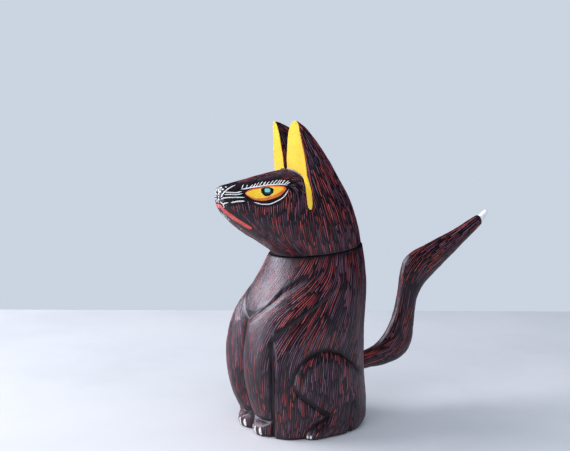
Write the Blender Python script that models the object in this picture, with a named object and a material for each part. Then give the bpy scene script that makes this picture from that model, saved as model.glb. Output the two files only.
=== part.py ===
"""Seated cat figure, carved in copal wood and pegged together, in metres with +Z up.

The cat faces -Y, so its left side is +X. The origin is on the resting face, on the log's axis.
The head turns on a dowel in the neck. The tail pushes onto a dowel peg in the back.
"""

import math

import bmesh
import bpy
import numpy as np
from mathutils import Vector

MM = 0.001

# The joint between head and neck: a flat cut that rises towards the back, and the dowel square to it.
SEAM_CENTRE_Y = 12 * MM
SEAM_HEIGHT = 134 * MM
SEAM_SLOPE = 0.12
SEAM_GAP = 0.5 * MM
NECK_DOWEL_RADIUS = 6 * MM
NECK_DOWEL_LENGTH = 44 * MM
NECK_CENTRE = Vector((0, SEAM_CENTRE_Y, SEAM_HEIGHT))
NECK_AXIS = Vector((0, -SEAM_SLOPE, 1)).normalized()

# The tail's peg: where it leaves the back, and how steeply it climbs.
TAIL_ROOT = Vector((0, 48, 39.5)) * MM
TAIL_AXIS = Vector((0, 1, 0.16)).normalized()
TAIL_PEG_RADIUS = 3.5 * MM
TAIL_PEG_LENGTH = 40 * MM

FIT_GAP = 0.35 * MM
BORE_END_GAP = 1 * MM

# Torso sections in mm: height, centre y, half width, front y, back y, squareness of the front.
TORSO_SECTIONS = [
    (0, 0, 44.5, -44.6, 45.6, 2.4),
    (5, 0, 46.0, -45.0, 48.6, 2.4),
    (14, 0, 46.6, -46.6, 49.3, 2.5),
    (25, 0, 47.0, -51.0, 48.4, 2.6),
    (39, 0, 47.0, -55.0, 46.8, 2.6),
    (54, 0, 46.5, -57.2, 46.2, 2.6),
    (70, 0, 46.0, -56.7, 46.6, 2.6),
    (84, 1, 45.5, -53.8, 47.6, 2.5),
    (96, 3, 44.5, -48.6, 48.8, 2.4),
    (107, 6, 43.0, -40.5, 48.9, 2.2),
    (118, 9, 40.5, -32.4, 48.0, 2.1),
    (134, 12, 34.5, -24.6, 47.0, 2.0),
]
# Heights in mm of the torso's rings, and the directions round it in degrees from the front.
TORSO_HEIGHTS = [0, 2.5, 5, 8, 11, 13.5, 16, 19, 22.5, *np.linspace(26, 134, 36)]
TORSO_DIRECTIONS = [*np.linspace(0, 60, 21), *np.linspace(63.5, 119.5, 17), *np.linspace(126, 180, 10)]

# Lines carved on the torso's left half, mirrored to the right: degrees from the front, mm up, mm deep.
BODY_RADIUS = 48
CENTRE_GROOVE = [(0, 90, 6), (0, 82, 9.5), (0, 60, 10), (0, 30, 9), (0, 12, 5), (0, 0, 4)]
CHEST_EDGE = [(2, 85, 3), (16, 94.5, 2.4), (26, 101.5, 2.2), (38, 110, 2), (57, 116.5, 1.5), (80, 121.5, 0)]
ARM_EDGE = [(36, 74, 2.2), (38, 79, 2.4), (45, 83.5, 2.6), (62, 93.5, 2.2), (84, 103.4, 1.2), (100, 109, 0)]
LEG_EDGE = [(31, 0, 3.6), (34, 20, 4.2), (36, 41, 4.5), (36, 60, 4.5), (36.5, 77, 2.5)]
PAW_EDGE = [(0, 18.5, 3.5), (5, 13.8, 4), (16.6, 11.2, 4), (31, 13, 3)]
RUMP_SLIT = [(113, 26, 0), (112, 20, 3), (111, 10, 3.5), (111, 0, 3)]
HAUNCH_OUTLINE = [
    (61, -4), (62.4, 3.6), (64.7, 6), (71.7, 10.7), (80.7, 13.8), (86.5, 16.4),
    (77.8, 20.2), (66.7, 27.4), (57.8, 33.9), (52.6, 39), (51.6, 43.1), (53.6, 50.8),
    (58.8, 58.2), (66.6, 63), (76.6, 65.1), (86.1, 64.8), (99.3, 61.3), (113.6, 53.3),
    (127.5, 43.7), (140, 33), (150, 20), (152, -4),
]

# Sections of the head's back and ears in mm: height, half width, front y, back y.
HOOD_SECTIONS = [
    (134, 34.5, -22.5, 46.5),
    (148, 34.3, -22.5, 43.5),
    (159, 33.3, -22.0, 40.0),
    (170, 31.6, -22.0, 36.0),
    (180, 29.4, -22.0, 30.6),
    (191, 27.1, -22.0, 24.1),
    (202, 25.8, -22.0, 16.8),
    (211, 24.0, -21.5, 10.0),
    (220, 22.0, -20.5, 1.7),
    (226, 20.2, -19.5, -5.4),
    (230, 16.9, -18.5, -12.4),
]
HOOD_SEGMENTS = 56
HOOD_RINGS = 24

# Sections of the face in mm: y, half width, top z, bottom z, height of the widest line as a share,
# squareness of the lower half.
FACE_SECTIONS = [
    (-71.0, 4.0, 180.2, 171.2, 0.5, 2.2),
    (-70.0, 6.0, 182.1, 168.6, 0.5, 2.2),
    (-67.0, 8.3, 183.6, 163.7, 0.48, 2.3),
    (-62.0, 10.8, 184.8, 158.5, 0.46, 2.4),
    (-54.0, 14.0, 186.6, 152.0, 0.44, 2.4),
    (-45.0, 18.0, 188.6, 146.0, 0.42, 2.4),
    (-36.0, 22.2, 190.6, 141.0, 0.40, 2.5),
    (-28.0, 25.8, 192.2, 136.0, 0.38, 2.6),
    (-20.0, 28.8, 193.6, 131.6, 0.36, 2.9),
    (-8.0, 31.0, 194.4, 128.0, 0.34, 3.6),
    (2.0, 31.6, 193.0, 128.0, 0.34, 4.0),
]
FACE_SEGMENTS = 40

# The ears' flat front faces, in mm: inner base corner, outer base corner and tip of the left ear.
EAR_INNER_BASE = (2.6, -14.63, 195.0)
EAR_OUTER_BASE = (22.8, -11.1, 195.0)
EAR_TIP = (14.5, -16.0, 230.0)
HOOD_STEP_BOTTOM = 160.0
# The gap between the ears in mm: height, half width.
EAR_GAP_SECTIONS = [
    (194.5, 2.0),
    (196, 2.5),
    (202, 3.0),
    (210, 4.6),
    (218, 6.4),
    (224, 8.6),
    (228, 11.4),
    (231, 15.2),
    (236, 22.0),
]

# Tail in mm: its lower edge's y and z, its upper edge's y and z, and its half thickness across.
TAIL_STATIONS = [
    (48.7, 33.6, 47.2, 45.2, 5.4),
    (60.5, 34.2, 58.6, 47.8, 5.8),
    (78.0, 35.2, 68.8, 51.4, 6.2),
    (90.5, 38.2, 74.4, 55.4, 6.4),
    (99.0, 43.6, 79.2, 60.4, 6.4),
    (103.6, 52.8, 83.4, 67.0, 6.4),
    (104.8, 64.0, 87.0, 74.6, 6.4),
    (105.8, 75.2, 90.2, 85.0, 6.4),
    (107.8, 86.0, 92.6, 98.0, 6.4),
    (112.2, 93.8, 94.0, 109.0, 6.4),
    (117.8, 99.6, 97.2, 118.2, 6.2),
    (125.4, 105.4, 104.6, 124.2, 6.0),
    (134.4, 112.4, 117.4, 129.2, 5.8),
    (145.0, 120.2, 133.2, 135.0, 5.4),
    (157.4, 129.8, 150.0, 141.2, 5.0),
    (168.2, 137.6, 163.0, 147.0, 4.4),
    (176.2, 143.8, 173.6, 152.0, 3.8),
]
TAIL_SEGMENTS = 20
TAIL_RINGS = 30
# The white end, narrower than the tail it is cut from.
TAIL_TIP = [(177.0, 145.6, 175.2, 151.4, 2.9), (184.2, 153.0, 182.8, 156.8, 2.0)]

PAINT_BLACK = (0.045, 0.022, 0.03)
BARE_WOOD = (0.62, 0.46, 0.28)


def clear_scene():
    for obj in list(bpy.data.objects):
        bpy.data.objects.remove(obj, do_unlink=True)


def new_collection(name):
    collection = bpy.data.collections.new(name)
    bpy.context.scene.collection.children.link(collection)
    return collection


def material(name, colour, roughness):
    made = bpy.data.materials.new(name)
    made.use_nodes = True
    shader = made.node_tree.nodes["Principled BSDF"]
    shader.inputs["Base Color"].default_value = (*colour, 1.0)
    shader.inputs["Roughness"].default_value = roughness
    shader.inputs["Metallic"].default_value = 0.0
    return made


def smooth(stations, at):
    """Values at the given positions of a smooth curve through stations of (position, value, ...)."""
    table = np.array(stations, float)
    place, value = table[:, 0], table[:, 1:]
    slope = np.gradient(value, place, axis=0)
    at = np.clip(np.atleast_1d(at), place[0], place[-1])
    i = np.clip(np.searchsorted(place, at) - 1, 0, len(place) - 2)
    step = (place[i + 1] - place[i])[:, None]
    t = ((at - place[i])[:, None]) / step
    start, end = value[i], value[i + 1]
    leave, arrive = slope[i] * step, slope[i + 1] * step
    return (
        start * (1 + 2 * t) * (1 - t) ** 2
        + end * t**2 * (3 - 2 * t)
        + leave * t * (1 - t) ** 2
        - arrive * t**2 * (1 - t)
    )


def seam_height(y):
    """Height of the flat cut between head and neck at a given y, in metres."""
    return SEAM_HEIGHT + (y - SEAM_CENTRE_Y) * SEAM_SLOPE


def loft(name, rings, collection, wood, origin=(0, 0, 0)):
    """A closed solid through rings of points, each ring an (n, 3) array, with a fan over each end."""
    mesh = bmesh.new()
    rings = [ring - np.array(origin) for ring in rings]
    rows = [[mesh.verts.new(point) for point in ring] for ring in rings]
    count = len(rows[0])
    for low, high in zip(rows, rows[1:]):
        for k in range(count):
            after = (k + 1) % count
            mesh.faces.new((low[k], low[after], high[after], high[k]))
    for row, ring in ((rows[0], rings[0]), (rows[-1], rings[-1])):
        middle = mesh.verts.new(np.mean(ring, axis=0))
        for k in range(count):
            mesh.faces.new((row[k], row[(k + 1) % count], middle))
    bmesh.ops.recalc_face_normals(mesh, faces=mesh.faces)
    data = bpy.data.meshes.new(name)
    mesh.to_mesh(data)
    mesh.free()
    data.materials.append(wood)
    data.shade_smooth()
    data.set_sharp_from_angle(angle=math.radians(35))
    obj = bpy.data.objects.new(name, data)
    obj.location = origin
    collection.objects.link(obj)
    return obj


def superellipse(angle, power):
    """Unit superellipse: across and along, for angles measured from the across axis."""
    across = np.sign(np.cos(angle)) * np.abs(np.cos(angle)) ** (2 / power)
    along = np.sign(np.sin(angle)) * np.abs(np.sin(angle)) ** (2 / power)
    return across, along


def boolean(target, cutter, operation):
    """Applies one exact Boolean to target and leaves the cutter hidden."""
    modifier = target.modifiers.new(operation.title() + "_" + cutter.name, "BOOLEAN")
    modifier.operation = operation
    modifier.object = cutter
    cutter.hide_render = True
    cutter.display_type = "WIRE"


def bake_modifiers(obj):
    """Replaces the mesh with its evaluated one, so that a later cutter meets the finished shape."""
    graph = bpy.context.evaluated_depsgraph_get()
    data = bpy.data.meshes.new_from_object(obj.evaluated_get(graph))
    obj.modifiers.clear()
    obj.data = data


def cylinder(name, radius, start, end, collection, wood, segments=24):
    """A plain round bar from start to end."""
    start, end = Vector(start), Vector(end)
    mesh = bmesh.new()
    bmesh.ops.create_cone(
        mesh,
        cap_ends=True,
        segments=segments,
        radius1=radius,
        radius2=radius,
        depth=(end - start).length,
    )
    data = bpy.data.meshes.new(name)
    mesh.to_mesh(data)
    mesh.free()
    data.materials.append(wood)
    obj = bpy.data.objects.new(name, data)
    obj.location = (start + end) / 2
    obj.rotation_mode = "QUATERNION"
    obj.rotation_quaternion = (end - start).to_track_quat("Z", "Y")
    collection.objects.link(obj)
    return obj


def to_segments(place, line):
    """For each place, its distance from every segment of a line, and the share along each."""
    start, end = line[:-1], line[1:]
    run = end[:, :2] - start[:, :2]
    offset = place[:, None, :] - start[None, :, :2]
    share = np.clip((offset * run).sum(2) / (run * run).sum(1), 0, 1)
    return np.linalg.norm(offset - share[..., None] * run, axis=2), share


def unrolled(line):
    """A carved line with its degrees turned into mm round the body."""
    line = np.array(line, float)
    line[:, 0] *= math.radians(BODY_RADIUS)
    return line


def groove(place, line, width, power=1.4):
    """Depth of a groove cut along a line whose third column is its depth."""
    line = unrolled(line)
    gap, share = to_segments(place, line)
    deep = line[:-1, 2] + share * (line[1:, 2] - line[:-1, 2])
    return (deep * np.clip(1 - gap / width, 0, 1) ** power).max(axis=1)


def inside(place, outline):
    """Whether each place lies inside a closed outline."""
    x, y = place[:, :1], place[:, 1:]
    start, end = outline, np.roll(outline, -1, axis=0)
    spans = (start[:, 1] > y) != (end[:, 1] > y)
    rise = np.where(end[:, 1] == start[:, 1], 1, end[:, 1] - start[:, 1])
    crosses = x < start[:, 0] + (y - start[:, 1]) / rise * (end[:, 0] - start[:, 0])
    return (spans & crosses).sum(axis=1) % 2 == 1


def carved_depth(direction, height):
    """How far the carving goes in from the log's outline, in mm, for directions in degrees."""
    direction = np.abs(direction)
    place = np.stack([direction * math.radians(BODY_RADIUS), height], axis=1)
    chest, arm, leg = (np.array(line, float) for line in (CHEST_EDGE, ARM_EDGE, LEG_EDGE))

    depth = groove(place, CENTRE_GROOVE, 12, 1.6)
    to_chest = unrolled(CHEST_EDGE)
    chest_side = np.interp(height, to_chest[:, 1], to_chest[:, 0]) - place[:, 0]
    sunk = np.interp(height, [82, 85, 96, 108], [0, 8.5, 3.8, 0])
    depth = np.maximum(depth, sunk * np.clip(chest_side / 5, 0, 1))
    depth = np.maximum(depth, groove(place, CHEST_EDGE, 4))

    behind_leg = direction > np.interp(height, leg[:, 1], leg[:, 0])
    below_arm = (height < np.interp(direction, arm[:, 0], arm[:, 1])) & behind_leg
    under_arm = groove(place, ARM_EDGE, 15, 1)
    depth = np.maximum(depth, np.where(below_arm, under_arm, groove(place, ARM_EDGE, 3)))
    leg_side = 0.55 * groove(place, LEG_EDGE, 11, 1.8)
    depth = np.maximum(depth, np.where(behind_leg, 0, leg_side))
    depth = np.maximum(depth, groove(place, LEG_EDGE, 3.4, 1.0))
    depth = np.maximum(depth, groove(place, PAW_EDGE, 4.2, 1.2))
    depth = np.maximum(depth, groove(place, RUMP_SLIT, 3.4, 1.0))

    outline = unrolled(HAUNCH_OUTLINE)
    gap, _ = to_segments(place, np.vstack([outline, outline[:1]]))
    gap = gap.min(axis=1)
    fade = np.clip((150 - direction) / 40, 0, 1)
    rounded = 2.6 * np.exp(-((gap / 3.6) ** 2))
    lowered = 2.6 * np.exp(-((gap / 7.5) ** 2))
    haunch = np.where(inside(place, outline), rounded, np.where(behind_leg, lowered, 0))
    depth = np.maximum(depth, haunch * fade)

    across_paw = np.clip(1 - ((direction - 16) / 15) ** 2, 0, 1)
    paw = 3.4 * across_paw * np.clip(1 - ((height - 4.5) / 6.5) ** 2, 0, 1)
    across_foot = np.clip(1 - ((direction - 72) / 13) ** 2, 0, 1)
    foot = 1.4 * across_foot * np.clip(1 - ((height - 3) / 8) ** 2, 0, 1)
    return depth - paw - foot


def torso_rings():
    """Sections of the torso, level at the base and sheared into the slope of the cut at the top."""
    half_round = np.radians(TORSO_DIRECTIONS)
    turn = np.concatenate([half_round, -half_round[-2:0:-1]])
    sine, cosine = np.abs(np.sin(turn)), np.abs(np.cos(turn))
    forward = np.cos(turn) > 0
    top = TORSO_SECTIONS[-1][0]
    rings = []
    for height in TORSO_HEIGHTS:
        centre, half, front, back, power = smooth(TORSO_SECTIONS, height)[0]
        power = np.where(forward, power, 2.1)
        deep = np.where(forward, centre - front, back - centre)
        radius = ((sine / half) ** power + (cosine / deep) ** power) ** (-1 / power)
        x, y = radius * np.sin(turn), centre - radius * np.cos(turn)
        reach = np.hypot(x, y)
        kept = 1 - carved_depth(np.degrees(np.arctan2(x, -y)), np.full_like(x, height)) / reach
        x, y = x * kept, y * kept
        z = height / top * (seam_height(y * MM) - SEAM_GAP) / MM
        rings.append(np.stack([x, y, z], axis=1) * MM)
    return rings


def bore(target, name, centre, axis, radius, length, cutters, wood):
    """Drills half of a dowel's hole into target; the other half belongs to its neighbour."""
    reach = axis * (length / 2 + BORE_END_GAP)
    drill = cylinder(name, radius + FIT_GAP, centre - reach, centre + reach, cutters, wood)
    boolean(target, drill, "DIFFERENCE")


def make_torso(collection, cutters, paint):
    torso = loft("torso", torso_rings(), collection, paint)
    neck = (NECK_CENTRE, NECK_AXIS, NECK_DOWEL_RADIUS, NECK_DOWEL_LENGTH)
    tail = (TAIL_ROOT, TAIL_AXIS, TAIL_PEG_RADIUS, TAIL_PEG_LENGTH)
    bore(torso, "neck_bore_cutter", *neck, cutters, paint)
    bore(torso, "tail_bore_cutter", *tail, cutters, paint)
    return torso


def hood_rings():
    turn = np.linspace(0, 2 * math.pi, HOOD_SEGMENTS, endpoint=False)
    base, top = HOOD_SECTIONS[0][0], HOOD_SECTIONS[-1][0]
    across, along = superellipse(turn, 2.0)
    rings = []
    for share in np.linspace(0, 1, HOOD_RINGS):
        half, front, back = smooth(HOOD_SECTIONS, base + share * (top - base))[0]
        x = half * across
        y = (front + back) / 2 + (back - front) / 2 * along
        floor = (seam_height(y * MM) + SEAM_GAP) / MM
        rings.append(np.stack([x, y, floor + share * (top - floor)], axis=1) * MM)
    return rings


def face_rings():
    """Sections of the muzzle and cheeks, square to its length and kept above the cut."""
    turn = np.linspace(0, 2 * math.pi, FACE_SEGMENTS, endpoint=False)
    rings = []
    for y, half, top, bottom, waist, power in FACE_SECTIONS:
        across, along = superellipse(turn, np.where(np.sin(turn) > 0, 2.4, power))
        middle = bottom + (top - bottom) * waist
        x = half * across
        z = middle + np.where(along > 0, top - middle, middle - bottom) * along
        z = np.maximum(z, (seam_height(y * MM) + SEAM_GAP) / MM + 0.08)
        rings.append(np.stack([x, np.full_like(x, y), z], axis=1) * MM)
    return rings


def ear_face_cutter(side, cutters):
    """A block whose back face is the ear's flat front, reaching forward over the face."""
    inner, outer, tip = (Vector(p) * MM for p in (EAR_INNER_BASE, EAR_OUTER_BASE, EAR_TIP))
    forward = (inner - tip).cross(outer - tip).normalized()
    if forward.y > 0:
        forward.negate()
    up = (Vector((0, 0, 1)) - forward * forward.z).normalized()
    right = forward.cross(up)
    size = 80 * MM
    foot = tip - up * ((tip.z - HOOD_STEP_BOTTOM * MM) / up.z)
    mesh = bmesh.new()
    for ahead in (0, size):
        for level in (0, size * 1.2):
            for across in (-size, size):
                corner = foot + forward * ahead + up * level + right * across
                mesh.verts.new((side * corner.x, corner.y, corner.z))
    bmesh.ops.convex_hull(mesh, input=mesh.verts)
    data = bpy.data.meshes.new("ear_face_cutter")
    mesh.to_mesh(data)
    mesh.free()
    cutter = bpy.data.objects.new("ear_face_cutter", data)
    cutters.objects.link(cutter)
    return cutter


def ear_gap_cutter(cutters):
    """The notch sawn between the ears: its outline, run from front to back."""
    heights = np.linspace(EAR_GAP_SECTIONS[0][0], EAR_GAP_SECTIONS[-1][0], 12)
    half = smooth(EAR_GAP_SECTIONS, heights)[:, 0]
    outline = [*zip(half, heights), *zip(-half[::-1], heights[::-1])]
    mesh = bmesh.new()
    face = mesh.faces.new([mesh.verts.new(Vector((x, -60, z)) * MM) for x, z in outline])
    run = bmesh.ops.extrude_face_region(mesh, geom=[face])["geom"]
    moved = [part for part in run if isinstance(part, bmesh.types.BMVert)]
    bmesh.ops.translate(mesh, vec=(0, 140 * MM, 0), verts=moved)
    bmesh.ops.recalc_face_normals(mesh, faces=mesh.faces)
    data = bpy.data.meshes.new("ear_gap_cutter")
    mesh.to_mesh(data)
    mesh.free()
    cutter = bpy.data.objects.new("ear_gap_cutter", data)
    cutters.objects.link(cutter)
    return cutter


def make_head(collection, cutters, paint):
    head = loft("head", hood_rings(), collection, paint, NECK_CENTRE)
    for side in (1, -1):
        boolean(head, ear_face_cutter(side, cutters), "DIFFERENCE")
    bake_modifiers(head)
    boolean(head, loft("face_form", face_rings(), cutters, paint), "UNION")
    bake_modifiers(head)
    boolean(head, ear_gap_cutter(cutters), "DIFFERENCE")
    neck = (NECK_CENTRE, NECK_AXIS, NECK_DOWEL_RADIUS, NECK_DOWEL_LENGTH)
    bore(head, "head_bore_cutter", *neck, cutters, paint)
    return head


def make_dowel(name, centre, axis, radius, length, collection, wood):
    half = axis * length / 2
    return cylinder(name, radius, centre - half, centre + half, collection, wood)


def tail_rings():
    """Flattened sections that span the tail from edge to edge, then the narrower end."""
    table = np.array(TAIL_STATIONS, float)
    middle = (table[:, :2] + table[:, 2:4]) / 2
    run = np.concatenate([[0], np.cumsum(np.hypot(*np.diff(middle, axis=0).T))])
    line = smooth(np.column_stack([run, table]), np.linspace(0, run[-1], TAIL_RINGS))
    turn = np.linspace(0, 2 * math.pi, TAIL_SEGMENTS, endpoint=False)
    across, along = superellipse(turn, 2.5)
    rings = []
    for low_y, low_z, high_y, high_z, thick in [*line, *TAIL_TIP]:
        y = (low_y + high_y) / 2 + (high_y - low_y) / 2 * along
        z = (low_z + high_z) / 2 + (high_z - low_z) / 2 * along
        rings.append(np.stack([thick * across, y, z], axis=1) * MM)
    return rings


def make_tail(collection, cutters, paint):
    tail = loft("tail", tail_rings(), collection, paint, TAIL_ROOT)
    peg = (TAIL_ROOT, TAIL_AXIS, TAIL_PEG_RADIUS, TAIL_PEG_LENGTH)
    bore(tail, "tail_socket_cutter", *peg, cutters, paint)
    return tail


def main():
    clear_scene()
    figure = new_collection("seated_cat_figure")
    cutters = new_collection("cutters")
    paint = material("painted_wood", PAINT_BLACK, 0.45)
    bare = material("bare_wood", BARE_WOOD, 0.7)
    make_torso(figure, cutters, paint)
    make_head(figure, cutters, paint)
    make_tail(figure, cutters, paint)
    neck = (NECK_CENTRE, NECK_AXIS, NECK_DOWEL_RADIUS, NECK_DOWEL_LENGTH)
    make_dowel("neck_dowel", *neck, figure, bare)
    peg = (TAIL_ROOT, TAIL_AXIS, TAIL_PEG_RADIUS, TAIL_PEG_LENGTH)
    make_dowel("tail_peg", *peg, figure, bare)


main()
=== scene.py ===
import math
from collections import defaultdict
from itertools import product

import bmesh
import bpy
import numpy as np
from mathutils import Matrix, Vector, noise
from mathutils.bvhtree import BVHTree
from mathutils.geometry import delaunay_2d_cdt


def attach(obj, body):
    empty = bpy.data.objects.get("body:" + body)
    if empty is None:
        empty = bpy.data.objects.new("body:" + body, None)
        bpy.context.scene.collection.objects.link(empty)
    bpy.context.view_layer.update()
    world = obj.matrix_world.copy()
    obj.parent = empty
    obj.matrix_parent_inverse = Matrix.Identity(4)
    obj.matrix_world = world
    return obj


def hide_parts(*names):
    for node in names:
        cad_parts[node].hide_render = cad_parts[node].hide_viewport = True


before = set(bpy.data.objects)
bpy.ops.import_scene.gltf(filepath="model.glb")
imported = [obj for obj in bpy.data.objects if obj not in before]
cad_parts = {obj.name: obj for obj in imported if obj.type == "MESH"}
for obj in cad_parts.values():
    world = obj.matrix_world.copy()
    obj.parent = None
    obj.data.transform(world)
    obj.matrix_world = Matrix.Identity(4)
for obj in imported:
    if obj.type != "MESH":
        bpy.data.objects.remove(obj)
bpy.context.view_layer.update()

# Lengths below are in mm unless a name says otherwise. The cat faces -Y and its left side is +X.
MM = 0.001

SEAM_CENTRE_Y, SEAM_HEIGHT, SEAM_SLOPE, SEAM_GAP = 12, 134, 0.12, 0.1
NECK_CENTRE = np.array([0, SEAM_CENTRE_Y, float(SEAM_HEIGHT)])
NECK_AXIS = np.array([0, -SEAM_SLOPE, 1.0]) / math.hypot(SEAM_SLOPE, 1)
NECK_DOWEL_RADIUS, NECK_DOWEL_LENGTH = 6, 44
TAIL_ROOT = np.array([0, 48, 39.5])
TAIL_AXIS = np.array([0, 1, 0.16]) / math.hypot(0.16, 1)
TAIL_PEG_RADIUS, TAIL_PEG_LENGTH = 3.5, 40
FIT_GAP, BORE_END_GAP = 0.35, 1

# Torso sections: height, centre y, half width, front y, back y, squareness of the front.
TORSO_SECTIONS = [
    (0, 0, 44.5, -44.6, 45.6, 2.4),
    (5, 0, 46.0, -45.0, 48.6, 2.4),
    (14, 0, 46.6, -46.6, 49.3, 2.5),
    (25, 0, 47.0, -51.0, 48.4, 2.6),
    (39, 0, 47.0, -55.0, 46.8, 2.6),
    (54, 0, 46.5, -57.2, 46.2, 2.6),
    (70, 0, 46.0, -56.7, 46.6, 2.6),
    (84, 1, 45.5, -53.8, 47.6, 2.5),
    (96, 3, 44.5, -48.6, 48.8, 2.4),
    (107, 6, 43.0, -40.5, 48.9, 2.2),
    (118, 9, 40.5, -32.4, 48.0, 2.1),
    (134, 12, 34.5, -24.6, 47.0, 2.0),
]
# Carved lines on the left half, mirrored to the right: degrees from the front, mm up, mm deep.
BODY_RADIUS = 48
CHEST_FADE, HAUNCH_RISE, TORSO_EDGE, BACK_POWER = 7, 3.0, 0.36, 2.1
# Knife marks: the sizes of the coarse and the fine ones, and how far any of them stands out.
COARSE_SIZE, FINE_SIZE, MOST_PROUD = 11, 4.2, 0.12
CENTRE_GROOVE = [(0, 90, 6), (0, 82, 9.5), (0, 60, 10), (0, 30, 9), (0, 12, 5), (0, 0, 4)]
CHEST_EDGE = [(2, 85, 3), (16, 94.5, 2.4), (26, 101.5, 2.2), (38, 110, 2), (57, 116.5, 1.5), (80, 121.5, 0)]
ARM_EDGE = [(36, 74, 2.2), (38, 79, 2.4), (45, 83.5, 2.6), (62, 93.5, 2.2), (84, 103.4, 1.2), (100, 109, 0)]
LEG_EDGE = [(31, 0, 3.6), (34, 20, 4.2), (36, 41, 4.5), (36, 60, 4.5), (36.5, 77, 2.5)]
PAW_EDGE = [(0, 18.5, 3.5), (5, 13.8, 4), (16.6, 11.2, 4), (31, 13, 3)]
RUMP_SLIT = [(113, 26, 0), (112, 20, 3), (111, 10, 3.5), (111, 0, 3)]
# The cuts that are plain grooves: line, half width, power of the side's slope.
V_CUTS = [
    (CENTRE_GROOVE, 12, 1.6), (CHEST_EDGE, 4, 1.4), (LEG_EDGE, 3.4, 1), (PAW_EDGE, 4.2, 1.2),
    (RUMP_SLIT, 3.4, 1),
]
# How deep the chest lies behind the arms: height, depth.
CHEST_SUNK = [(70, 0), (77, 1.5), (86, 7.2), (96, 3.8), (108, 0.3), (114, 0)]
# Swellings: degrees from the front, half width in degrees, height, half height, rise.
PAW = (16, 15, 4.5, 6.5, 3.4)
FOOT = (72, 13, 3, 8, 1.4)
HAUNCH_OUTLINE = [
    (61, -4), (62.4, 3.6), (64.7, 6), (71.7, 10.7), (80.7, 13.8), (86.5, 16.4),
    (77.8, 20.2), (66.7, 27.4), (57.8, 33.9), (52.6, 39), (51.6, 43.1), (53.6, 50.8),
    (58.8, 58.2), (66.6, 63), (76.6, 65.1), (86.1, 64.8), (99.3, 61.3), (113.6, 53.3),
    (127.5, 43.7), (140, 33), (150, 20), (152, -4),
]
TOE_LINES = [
    [(11, 0, 0.9), (11, 8, 0)], [(17.5, 0, 0.9), (17, 8.5, 0)], [(24, 0, 0.9), (23, 8, 0)],
    [(65.4, 0, 0.7), (66.4, 5, 0)], [(68.4, 0, 0.7), (69.6, 6, 0)],
]

# Sections of the head's back and ears: height, half width, front y, back y.
HOOD_SECTIONS = [
    (134, 34.5, -22.5, 46.5),
    (148, 34.3, -22.5, 43.5),
    (159, 33.3, -22.0, 40.0),
    (170, 31.6, -22.0, 36.0),
    (180, 29.4, -22.0, 30.6),
    (191, 27.1, -22.0, 24.1),
    (202, 25.8, -22.0, 16.8),
    (211, 24.0, -21.5, 10.0),
    (220, 22.0, -20.5, 1.7),
    (226, 20.2, -19.5, -5.4),
    (230, 16.9, -18.5, -12.4),
]
# Sections of the face: y, half width, top z, bottom z, height of the widest line as a share,
# squareness of the lower half.
FACE_SECTIONS = [
    (-71.0, 4.0, 180.2, 171.2, 0.5, 2.2),
    (-70.0, 6.0, 182.1, 168.6, 0.5, 2.2),
    (-67.0, 8.3, 183.6, 163.7, 0.48, 2.3),
    (-62.0, 10.8, 184.8, 158.5, 0.46, 2.4),
    (-54.0, 14.0, 186.6, 152.0, 0.44, 2.4),
    (-45.0, 18.0, 188.6, 146.0, 0.42, 2.4),
    (-36.0, 22.2, 190.6, 141.0, 0.40, 2.5),
    (-28.0, 25.8, 192.2, 136.0, 0.38, 2.6),
    (-20.0, 28.8, 193.6, 131.6, 0.36, 2.9),
    (-8.0, 31.0, 194.4, 128.0, 0.34, 3.6),
    (2.0, 31.6, 193.0, 128.0, 0.34, 4.0),
]
# The ears' flat front faces: inner base corner, outer base corner and tip of the left ear.
EAR_INNER_BASE = (2.6, -14.63, 195.0)
EAR_OUTER_BASE = (22.8, -11.1, 195.0)
EAR_TIP = (14.5, -16.0, 230.0)
HOOD_STEP_BOTTOM, EAR_BLOCK_HEIGHT = 160.0, 96
HEAD_VOXEL = 0.68
# The gap between the ears: height, half width.
EAR_GAP_SECTIONS = [
    (194.5, 2.0), (196, 2.5), (202, 3.0), (210, 4.6), (218, 6.4), (224, 8.6), (228, 11.4),
    (231, 15.2), (236, 22.0),
]

# Tail: its lower edge's y and z, its upper edge's y and z, and its half thickness across.
TAIL_STATIONS = [
    (48.7, 33.6, 47.2, 45.2, 5.4),
    (60.5, 34.2, 58.6, 47.8, 5.8),
    (78.0, 35.2, 68.8, 51.4, 6.2),
    (90.5, 38.2, 74.4, 55.4, 6.4),
    (99.0, 43.6, 79.2, 60.4, 6.4),
    (103.6, 52.8, 83.4, 67.0, 6.4),
    (104.8, 64.0, 87.0, 74.6, 6.4),
    (105.8, 75.2, 90.2, 85.0, 6.4),
    (107.8, 86.0, 92.6, 98.0, 6.4),
    (112.2, 93.8, 94.0, 109.0, 6.4),
    (117.8, 99.6, 97.2, 118.2, 6.2),
    (125.4, 105.4, 104.6, 124.2, 6.0),
    (134.4, 112.4, 117.4, 129.2, 5.8),
    (145.0, 120.2, 133.2, 135.0, 5.4),
    (157.4, 129.8, 150.0, 141.2, 5.0),
    (168.2, 137.6, 163.0, 147.0, 4.4),
    (176.2, 143.8, 173.6, 152.0, 3.8),
]
TAIL_TIP = [(177.0, 145.6, 175.2, 151.4, 2.9), (184.2, 153.0, 182.8, 156.8, 2.0)]


# ---------------------------------------------------------------- shapes

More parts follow.
